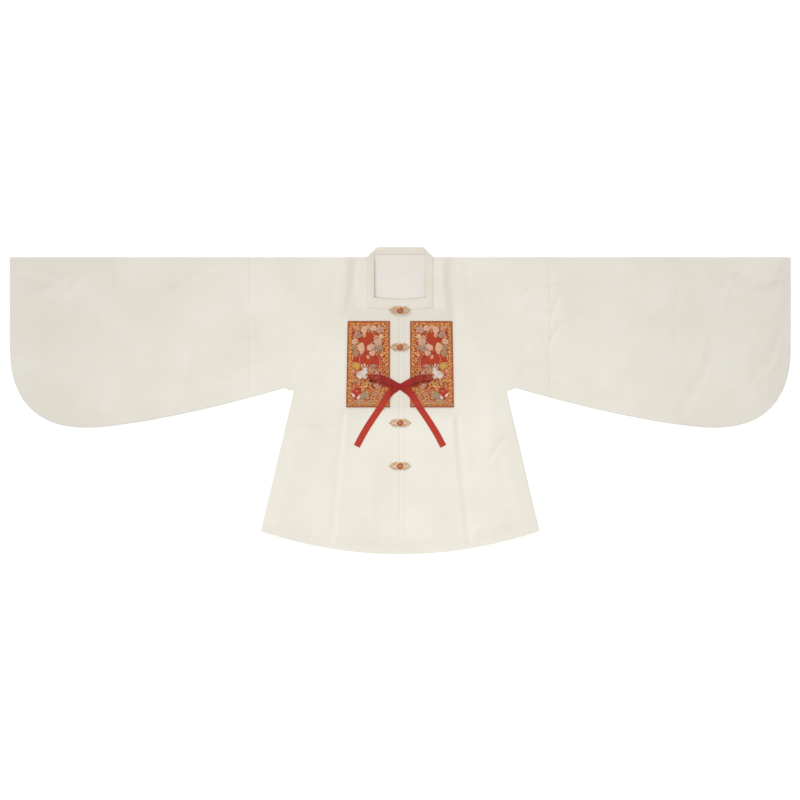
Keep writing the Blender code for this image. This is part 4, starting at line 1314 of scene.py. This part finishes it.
def foliage(work, draw):
    """Small gold and orange leaves that swirl over the ground, thick between the flowers."""
    pitch = 3.1
    wide, long = PANEL_WIDTH / MM, PANEL_LENGTH / MM
    bright = (GOLD, PALE_GOLD, CREAM, YELLOW, PALE_GOLD, ORANGE, PALE_GOLD, CREAM, ORANGE)
    ruddy = (ORANGE, RED, DARK_RED, BROWN, OLIVE, GOLD, PINK, RED, ORANGE, DARK_RED)
    for row in range(int((long - 3.0) / pitch)):
        for column in range(int((wide - 3.0) / pitch)):
            a = 2.0 + (column + draw.uniform(0.1, 1.1)) * pitch
            b = 2.0 + (row + draw.uniform(0.1, 1.1)) * pitch
            covered = any(math.hypot(a - item.across, b - item.up) < 0.72 * item.radius for item in BLOSSOMS)
            if covered or any(is_inside(a, b, corners) for corners in OPEN_GROUND):
                continue
            swirl = 2.4 * math.sin(a * 0.31 + 1.3 * math.sin(b * 0.21)) + 2.1 * math.cos(b * 0.37)
            angle = swirl + draw.uniform(-0.5, 0.5)
            length, width = draw.uniform(3.6, 5.8), draw.uniform(1.8, 2.7)
            clump = math.sin(a * 0.60 + 2.0 * math.sin(b * 0.17)) * math.cos(b * 0.50 + a * 0.09)
            tones = bright if clump + draw.uniform(-0.5, 0.5) > 0.0 else ruddy
            tone, other = tones[draw.randrange(len(tones))], tones[draw.randrange(len(tones))]
            foot = polar((a, b), -0.5 * length, angle)
            outline, middle = drop_outline(foot, length, width, angle, 0.0, 8, 0.3)
            if all(1.2 < place[0] < wide - 1.2 and 1.2 < place[1] < long - 1.2 for place in outline):
                work.patch(outline, middle, 0.4, tone, other, angle + 0.9, draw.uniform(0.0, 0.12),
                           (0.7, 1.0))


def border_scrolls(work, draw):
    """A vine of gold scrolls with red and orange leaves round the panel."""
    wide, long = PANEL_WIDTH / MM, PANEL_LENGTH / MM
    mid = BORDER / MM / 2 + 0.6
    runs = (
        ((mid, 10.0), (mid, long - 10.0)),
        ((wide - mid, 10.0), (wide - mid, long - 10.0)),
        ((10.0, long - mid), (wide - 10.0, long - mid)),
    )
    for (a0, b0), (a1, b1) in runs:
        length = math.hypot(a1 - a0, b1 - b0)
        heading = math.atan2(b1 - b0, a1 - a0)
        count = round(length / 9.5)
        for number in range(count):
            share = (number + 0.5) / count
            hand = 1 if number % 2 else -1
            a, b = turned((blend(a0, a1, share), blend(b0, b1, share)), 0.0, hand, heading)
            gold = PALE_GOLD if draw.random() < 0.5 else GOLD
            curl(work, a, b, 4.1, heading + hand * 1.2, 0.95, gold, 1.05, hand, GOLD)
            for step, colour in ((0.9, RED), (2.6, DARK_RED)):
                angle = heading + hand * (step + draw.uniform(-0.3, 0.3))
                leaf(work, *polar((a, b), 2.4, angle), draw.uniform(3.4, 4.6), 2.7, angle + hand * 0.5,
                     colour, ORANGE, 0.2)
    inset = 1.5
    corners = [(inset, inset), (wide - inset, inset), (wide - inset, long - inset), (inset, long - inset)]
    for start, end in zip(corners, corners[1:] + corners[:1]):
        work.cord(straight(start, end, np.linspace(0.0, 1.0, 24)), 0.5, 0.55, ORANGE)


def waves_and_bank(work, draw):
    """Rows of waves along the foot, and a bank of them on the inner side."""
    wide = PANEL_WIDTH / MM
    colours = ((PALE_GOLD, RED, GOLD), (CREAM, DARK_RED, PALE_GOLD), (GOLD, RED, CREAM))
    for row, (low, radius) in enumerate(((13.0, 6.2), (8.2, 6.0), (3.6, 4.6))):
        count = int((wide - 6.0) / (radius * 1.75))
        for number in range(count + 1):
            a = 3.0 + radius * 0.6 + (number + 0.5 * (row % 2)) * radius * 1.75
            if a < wide - 4.5 and (row or a < 50.0):
                wave(work, a, low, radius, colours[(number + row) % 3], 0.15 + 0.12 * row)
    for a, b, radius in ((18.0, 20.0, 4.6), (26.5, 21.5, 5.0), (35.5, 19.5, 4.6), (14.5, 27.0, 4.0),
                         (22.0, 29.0, 5.0), (31.0, 29.5, 4.8), (39.5, 27.0, 4.2), (18.0, 36.5, 4.4),
                         (26.5, 38.0, 4.6), (35.0, 37.0, 4.2), (22.0, 44.0, 3.6)):
        wave(work, a, b, radius, colours[draw.randrange(3)], 0.25)


def garden(work, draw):
    """Everything inside the border: arches, clouds, moon, rabbit, rocks, waves and flowers."""
    arches = (((31.5, 121.0), (25.5, 116.0), (23.0, 106.0), (23.5, 94.0), (24.5, 84.0)),
              ((66.0, 121.5), (69.5, 117.0), (70.5, 109.0), (69.0, 101.0)))
    for points in arches:
        work.cord(smooth_line(points, 16), 0.85, 0.5, PINK, PALE_PINK, base=0.2)
    for a, b, size, fill, edge, hand in (
        (37.0, 96.0, 7.6, MAUVE, GREY, 1),
        (45.0, 91.0, 7.8, GREY, MAUVE, 1),
        (33.0, 86.5, 6.0, PALE_PINK, GREY, -1),
        (44.0, 82.0, 5.6, CREAM, BROWN, 1),
        (83.5, 62.5, 8.4, YELLOW, PALE_GOLD, 1),
        (71.5, 59.0, 8.0, GREY, MAUVE, 1),
        (53.0, 55.0, 8.2, YELLOW, OLIVE, -1),
        (54.0, 48.5, 8.4, YELLOW, PALE_GOLD, 1),
        (42.0, 56.0, 5.4, PALE_PINK, MAUVE, 1),
        (20.0, 62.0, 5.2, ORANGE, PALE_GOLD, -1),
        (17.5, 96.0, 4.8, ORANGE, GOLD, 1),
        (19.0, 53.0, 5.0, GOLD, PALE_GOLD, 1),
    ):
        cloud(work, a, b, size, fill, edge, hand)
    moon = (78.0, 95.0)
    work.patch(disc_outline(moon, 8.6, 7.8, 22), moon, 0.6, YELLOW, dye(206, 158, 56), 0.9, 0.2)
    work.cord(disc_outline(moon, 8.7, 7.9, 22) + [(86.7, 95.0)], 0.35, 0.6, PALE_GOLD, base=0.2)
    rock(work, 57.5, 17.0, 19.0, 25.0, (MAUVE, GREY, GREY_GREEN), GREY_GREEN, draw)
    rock(work, 67.0, 8.5, 15.0, 15.0, (GREY, MAUVE), GREY_GREEN, draw)
    waves_and_bank(work, draw)
    for row in LEAVES:
        leaf(work, *row, base=0.25)
    for row in BLOSSOMS:
        blossom(work, *row)
    rabbit(work, 63.5, 77.5, 28.5)


def panel_edge(side):
    """The line along which the panel's cord is laid."""
    corners = [(0.0, 0.0), (PANEL_WIDTH, 0.0), (PANEL_WIDTH, PANEL_LENGTH), (0.0, PANEL_LENGTH), (0.0, 0.0)]
    path = []
    for start, end in zip(corners, corners[1:]):
        path += straight(start, end, np.linspace(0.0, 1.0, 40)[:-1])
    path = np.array(path + path[:1])
    return on_panel(side, path[:, 0], path[:, 1], np.full(len(path), -0.0003))


# ---- the ribbon --------------------------------------------------------------------------
RIBBON_COLUMNS = 13
STATION_STEPS = 12
RIBBON_WALL = 0.45 * MM
RIBBON_HALF = 0.0075         # half the ribbon's width where it lies flat
RIBBON_CLEAR = 0.25 * MM     # least height of the ribbon's middle above what it lies on
LOOP_TURN, LOOP_CRUMPLE, KNOT = 5.5, 5.2, 12.0    # stations of the loop's end and of the crossing


def under_ribbon(x, y):
    """What the ribbon lies on: the cloth, or the panel with its embroidery."""
    before, ramp, stitches = 0.010, 0.009, 1.0 * MM
    across = (np.abs(x) - PANEL_INNER_X + before) / ramp
    up = (y - PANEL_Y[0] + before) / ramp
    return rest_top(x, y) + smooth(across) * smooth(up) * (SEAM + PANEL_WALL + stitches)


def ribbon_sheet(side, over):
    """Rows of points across the whole ribbon, from inside the loop to the free end."""
    table = np.array([(side * row.x, *row[1:]) for row in RIBBON])
    if not over:
        shift = np.interp(np.arange(len(RIBBON)), (9, 11, 12, 13, 15), (0, -0.8, -1.7, -1.0, 0)) * MM
        table[:, 2] += shift
    line = smooth_line(table, (len(RIBBON) - 1) * STATION_STEPS + 1)
    count = len(line)
    turn_at = LOOP_TURN * STATION_STEPS
    facing = np.where(np.arange(count) < turn_at, 1.0, -1.0)
    run = np.gradient(line[:, :2], axis=0) * facing[:, None]
    window = np.exp(-((np.arange(count) - turn_at) / 9.0) ** 2)
    steady = np.array([side * 0.97, 0.24])
    run = run / (np.hypot(run[:, 0], run[:, 1])[:, None] + 1e-9)
    run = run * (1 - window[:, None]) + steady * window[:, None]
    run = run / np.hypot(run[:, 0], run[:, 1])[:, None]
    across = np.column_stack([-run[:, 1], run[:, 0]])
    step = np.arange(count) / STATION_STEPS
    crumple = np.exp(-((step - LOOP_CRUMPLE) / 2.0) ** 2)
    gather = np.exp(-((step - KNOT) / 1.6) ** 2)
    slack = np.clip(1.0 - gather * 1.3, 0.0, 1.0) * (step > CROSSING_ENDS)
    rows = []
    for index in range(count):
        place, half = line[index, :2], line[index, 3]
        row = []
        for share in np.linspace(-1.0, 1.0, RIBBON_COLUMNS):
            wobble = crumple[index] * 0.0016 * math.sin(3.1 * step[index] + 2.0 * share)
            reach = share * half + wobble
            x, y = place + across[index] * reach + run[index] * crumple[index] * 0.0020 * math.sin(
                4.0 * share + 1.7 * step[index])
            folds = (crumple[index] * 0.0011 * math.sin(7.0 * share + 2.6 * step[index])
                     + gather[index] * 0.00055 * math.cos(9.4 * share)
                     + slack[index] * 0.0003 * math.sin(1.3 * step[index] + side) * share)
            cup = -0.0005 * share ** 2 * (1.0 - crumple[index])
            ground = float(under_ribbon(np.float64(x), np.float64(y)))
            row.append((x, y, max(ground + line[index, 2] + folds + cup, ground + RIBBON_CLEAR)))
        rows.append(row)
    return np.array(rows)


def ribbon_piece(name, rows, finish):
    """A stretch of the ribbon, from rows of points across it."""
    item = add_mesh(name, rows.reshape(-1, 3), grid_faces(len(rows), RIBBON_COLUMNS), finish)
    runs = running_total(np.linalg.norm(np.diff(rows[:, RIBBON_COLUMNS // 2], axis=0), axis=1))
    lays = [(share * RIBBON_HALF, run) for run in runs for share in np.linspace(-1, 1, RIBBON_COLUMNS)]
    set_lay(item.data, "ribbon_lay", lays)
    return settled(give_wall(item, RIBBON_WALL, 0.0), SOFT_EDGE_ANGLE)


# ---- the clasps --------------------------------------------------------------------------
class Wirework:
    """Wires and grains in millimetres from the middle of a clasp, before they are drawn out."""

    FINENESS = 0.86          # share of its stated radius that a wire has
    HEIGHT = 0.6             # of the wires' middle

    def __init__(self):
        self.points, self.edges, self.radii, self.grains = [], [], [], []

    def wire(self, path, radius):
        start = len(self.points)
        for step, (x, y) in enumerate(path):
            self.points.append((x, y, self.HEIGHT))
            self.radii.append(self.FINENESS * radius)
            self.grains.append(0.0)
            if step:
                self.edges.append((start + step - 1, start + step))

    def ring(self, x, y, reach, radius):
        self.wire([polar((x, y), reach, angle) for angle in np.linspace(0.0, 2 * math.pi, 19)], radius)

    def grain(self, x, y, size, height=0.9):
        self.points.append((x, y, height))
        self.radii.append(0.0)
        self.grains.append(size)

    def finished(self, name, place, scale, side, tree, material):
        points = [(side * x * scale * MM + place[0], y * MM + place[1], z * MM + place[2])
                  for x, y, z in self.points]
        item = add_mesh(name, points, [], edges=self.edges)
        for label, values in (("reach", self.radii), ("grain", self.grains)):
            layer = item.data.attributes.new(label, "FLOAT", "POINT")
            layer.data.foreach_set("value", np.array(values, dtype=np.float32) * MM)
        return run_tree(item, tree, material, {"Sides": 8.0})


def clasp_half():
    """The right half: a leaf of wire with rings, bows and grains."""
    work = Wirework()
    for hand in (1, -1):
        rim = [(5.5, hand * 7.2), (9.0, hand * 8.6), (12.6, hand * 8.2), (14.6, hand * 6.4),
               (17.2, hand * 6.6), (19.4, hand * 4.6), (20.4, hand * 2.6), (22.6, hand * 1.6), (24.4, 0.0)]
        work.wire(smooth_line(rim, 34), 0.62)
        bow = np.radians(np.linspace(hand * 8, hand * 52, 12))
        work.wire([polar((0.0, 0.0), 10.6, angle) for angle in bow], 0.5)
        work.ring(12.6, hand * 4.4, 2.1, 0.5)
        work.ring(17.0, hand * 2.9, 1.5, 0.45)
        for x, y, size in ((9.0, 8.7, 0.85), (13.9, 7.0, 0.75), (18.9, 5.5, 0.70), (12.6, 4.4, 0.75)):
            work.grain(x, hand * y, size)
    work.ring(21.2, 0.0, 1.2, 0.45)
    work.grain(13.4, 0.0, 0.8)
    work.grain(24.6, 0.0, 0.95, 0.7)
    work.grain(17.6, 0.0, 0.7)
    return work


def clasp_rim(base, centre_y, name, finish):
    """The scalloped setting round the bead, pointed above and below."""
    sides = 64
    profile = ((6.1, 0.35), (6.3, 2.1), (6.9, 2.35), (7.5, 2.0), (7.9, 1.35))
    points = []
    for index in range(sides):
        angle = 2 * math.pi * index / sides
        point = abs(math.sin(angle)) ** 14
        reach = 8.1 + 0.5 * math.cos(8 * angle) + 1.0 * point
        section = list(profile) + [(reach, 1.05), (reach + 0.1, 0.7), (reach, 0.35)]
        for radius, height in section:
            points.append((*polar((0.0, centre_y), radius * MM, angle), base + height * MM))
    item = add_mesh(name, points, tube_faces(sides, len(points) // sides, True), finish)
    face_outwards(item.data)
    return settled(item, EDGE_ANGLE)


def clasp_bead(base, centre_y, name, finish):
    """A polished dome with a flat foot."""
    sides, rings = 40, 12
    points = []
    for ring in range(rings):
        angle = math.pi / 2 * ring / rings
        radius = 6.15 * MM * math.cos(angle) ** 0.8
        height = base + (0.6 + 4.4 * math.sin(angle) ** 0.9) * MM
        points += [(*polar((0.0, centre_y), radius, 2 * math.pi * index / sides), height)
                   for index in range(sides)]
    faces = tube_faces(rings, sides)
    top = len(points)
    points.append((0.0, centre_y, base + 5.0 * MM))
    faces += [(top - sides + index, top - sides + (index + 1) % sides, top) for index in range(sides)]
    faces.append(tuple(reversed(range(sides))))
    return settled(add_mesh(name, points, faces, finish), SOFT_EDGE_ANGLE)


# ---- putting it together -----------------------------------------------------------------
def claim(piece, slot, *nodes):
    """Ties a piece to the body, and hides the nodes that it stands for. slot is not used."""
    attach(piece, "root")
    if nodes:
        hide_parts(*nodes)
    return piece


def make_cloth(ivory, lining):
    for word, side in HANDS:
        body = claim(folded_cloth("cloth_body_" + word, body_plans(), side, ivory, lining),
                     "cloth", "body_" + word)
        sleeve = claim(folded_cloth("cloth_sleeve_" + word, sleeve_plans(), side, ivory, lining),
                       "cloth", "sleeve_" + word)


def make_collar(finish):
    """The bands. Gives the lines of stitches on them."""
    lines = []

    def band(name, keys, wall, side, node, flat):
        piece, rows = swept_band(name, keys, wall, finish, side)
        claim(piece, "collar", node)
        for margin, from_outer in zip(BAND_MARGINS, (True, False)):
            line = []
            for inner_x, inner_y, outer_x, outer_y, bottom in rows:
                width = math.hypot(outer_x - inner_x, outer_y - inner_y)
                share = 1 - margin / width if from_outer else margin / width
                line.append((side * blend(inner_x, outer_x, share), blend(inner_y, outer_y, share),
                             bottom + wall - 0.1 * MM))
            lines.append(line)

    for word, side in HANDS:
        band("collar_band_side_" + word, side_band_keys(), COLLAR_WALL, side, "collar_side_" + word,
             (0.0175, 0.13))
        band("collar_band_front_" + word, front_band_keys(), COLLAR_WALL, side, "collar_front_" + word,
             (0.025, 0.077))
    band("collar_band_back", back_band_keys(), BAND_BACK_HEIGHT, 1, "collar_back", (0.0175, 0.1325))
    return lines


def cloth_line(points):
    """A line on the cloth's top through points."""
    path = []
    for start, end in zip(points, points[1:]):
        count = max(1, math.ceil(math.hypot(end[0] - start[0], end[1] - start[1]) / 0.003))
        path += straight(start, end, [part / count for part in range(count)])
    path = np.array(path + [points[-1]])
    return np.column_stack([path, cloth_top(path[:, 0], path[:, 1])])


def cloth_seam_stitches():
    lines = []
    for side in (-1, 1):
        front_x = side * FRONT_STITCHING
        lines.append(cloth_line([(front_x, BAND_FRONT_Y - 0.003), (front_x, HEM_Y + 0.012)]))
        hem = [(side * HEM_CORNER[0] * across, blend(HEM_Y, HEM_CORNER[1], across ** 2) + HEM_STITCHING)
               for across in np.linspace(0.02, 0.985, 30)]
        lines.append(cloth_line(hem))
        cuff_x = side * (HALF_SPAN - CUFF_STITCHING)
        lines.append(cloth_line([(cuff_x, SHOULDER_Y - 0.003), (cuff_x, 0.082)]))
    return lines


def make_panels(ground, floss, cord_thread, tree):
    for word, side in HANDS:
        panel = claim(panel_ground("panel_ground_" + word, side, ground), "embroidery", "panel_" + word)
        work = Needlework(side)
        draw = random.Random(11)
        foliage(work, draw)
        border_scrolls(work, draw)
        garden(work, draw)
        stitched = claim(work.finished("embroidery_" + word, floss), "embroidery")
        edge = claim(sewn("panel_cord_" + word, [panel_edge(side)], tree, cord_thread, 0.9 * MM,
                          (2.2 * MM, 0.95 * MM, 1.1 * MM), 0.75), "embroidery")


def make_ribbon(satin):
    for word, other, side, over in (("left", "right", -1, True), ("right", "left", 1, False)):
        rows = ribbon_sheet(side, over)
        loop_end, crossing_end = LOOP_ENDS * STATION_STEPS, CROSSING_ENDS * STATION_STEPS
        loop = ribbon_piece("bow_loop_" + word, rows[:loop_end + 1], satin)
        claim(loop, "ribbon", "ribbon_loop_" + word)
        crossing = ribbon_piece("bow_crossing_" + word, rows[loop_end:crossing_end + 1], satin)
        claim(crossing, "ribbon", "ribbon_knot")
        tail = ribbon_piece("bow_tail_" + other, rows[crossing_end:], satin)
        claim(tail, "ribbon", "ribbon_tail_" + other)


def make_clasps(metal, stone, tree):
    for number in range(1, 5):
        name = f"clasp_{number}"
        low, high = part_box(name + "_right")
        bead_low, bead_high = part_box(name + "_bead")
        centre_y = (bead_low.y + bead_high.y) / 2
        scale = high.x / 0.025
        for word, side in HANDS:
            half = clasp_half().finished(f"{name}_filigree_{word}", (0.0, centre_y, low.z), scale, side,
                                         tree, metal)
            claim(half, "gilt", f"{name}_{word}")
        claim(clasp_rim(low.z, centre_y, name + "_setting", metal), "gilt")
        claim(clasp_bead(low.z, centre_y, name + "_stone", stone), "bead", name + "_bead")


def make_stage():
    """A pale floor and even light from all round."""
    finish = Finish("pale_floor", Base_Color=(0.97, 0.97, 0.97, 1.0), Roughness=0.9,
                    Specular_IOR_Level=0.1, Emission_Color=(1.0, 1.0, 1.0, 1.0), Emission_Strength=0.12)
    reach, top = 60.0, -0.0001
    corners = [(reach * x, reach * y, top) for x, y in ((-1, -1), (1, -1), (1, 1), (-1, 1))]
    floor = add_mesh("floor", corners, [(0, 1, 2, 3)], finish.material)
    world = bpy.data.worlds.new("soft_room")
    world.use_nodes = True
    background = world.node_tree.nodes["Background"].inputs
    background["Color"].default_value = (1.0, 1.0, 1.0, 1.0)
    background["Strength"].default_value = 0.68
    bpy.context.scene.world = world


def add_light(name, kind, place, aim, power):
    data = bpy.data.lights.new(name, kind)
    data.energy = power
    item = bpy.data.objects.new(name, data)
    item.location = place
    item.rotation_euler = (Vector(aim) - Vector(place)).to_track_quat("-Z", "Y").to_euler()
    bpy.context.scene.collection.objects.link(item)
    return data


def make_lights():
    """A slanting key that shows the creases, and a soft lamp over the skirt."""
    key = add_light("slanting_key", "SUN", (-1.55, 2.05, 1.40), (0.0, 0.0, 0.0), 1.62)
    key.angle = math.radians(22.0)
    lamp = add_light("lamp_over_skirt", "AREA", (0.0, -0.32, 1.40), (0.0, -0.32, 0.0), 7.5)
    lamp.size = 0.7


def make_camera():
    data = bpy.data.cameras.new("camera")
    data.lens = 100.0
    data.sensor_width = 36.0
    camera = bpy.data.objects.new("camera", data)
    framed_width, middle_y = 1.846, 0.0012
    height = framed_width / 2 / (data.sensor_width / 2 / data.lens)
    camera.location = (0.0, middle_y, height)
    data.clip_end = 60.0
    bpy.context.scene.collection.objects.link(camera)
    bpy.context.scene.camera = camera
    bpy.context.scene.view_settings.view_transform = "Standard"


def main():
    # the ivory's last colour is the painted shade over the shoulder troughs and round the panels
    ivory = woven("ivory_weave", dye(232, 228, 217), dye(224, 219, 206), 0.66, 0.10,
                  dye(212, 203, 188))
    lining = woven("lining_weave", dye(234, 227, 219), dye(226, 218, 209), 0.60, 0.08)
    band = woven("collar_weave", dye(228, 223, 210), dye(220, 214, 200), 0.64, 0.10)
    # each thread's second colour is the painted shade in the grooves of its twist
    ivory_thread = spun_thread("ivory_thread", dye(226, 222, 208), dye(206, 200, 184), 0.0005)
    red_thread = spun_thread("russet_thread", dye(184, 76, 46), dye(138, 46, 30), 0.0007)
    stitches, filigree = stitch_tree(), wire_tree()
    make_stage()
    make_lights()
    make_camera()
    make_cloth(ivory, lining)
    lines = make_collar(band) + cloth_seam_stitches()
    sewing = sewn("seam_stitches", lines, stitches, ivory_thread, 3.2 * MM, (2.4 * MM, 0.42 * MM, 0.30 * MM))
    claim(sewing, "cloth")
    make_panels(embroidered_ground(PANEL_WIDTH, PANEL_LENGTH, BORDER), silk_thread(), red_thread, stitches)
    make_ribbon(satin_ribbon())
    make_clasps(gilt(), agate(), filigree)


main()
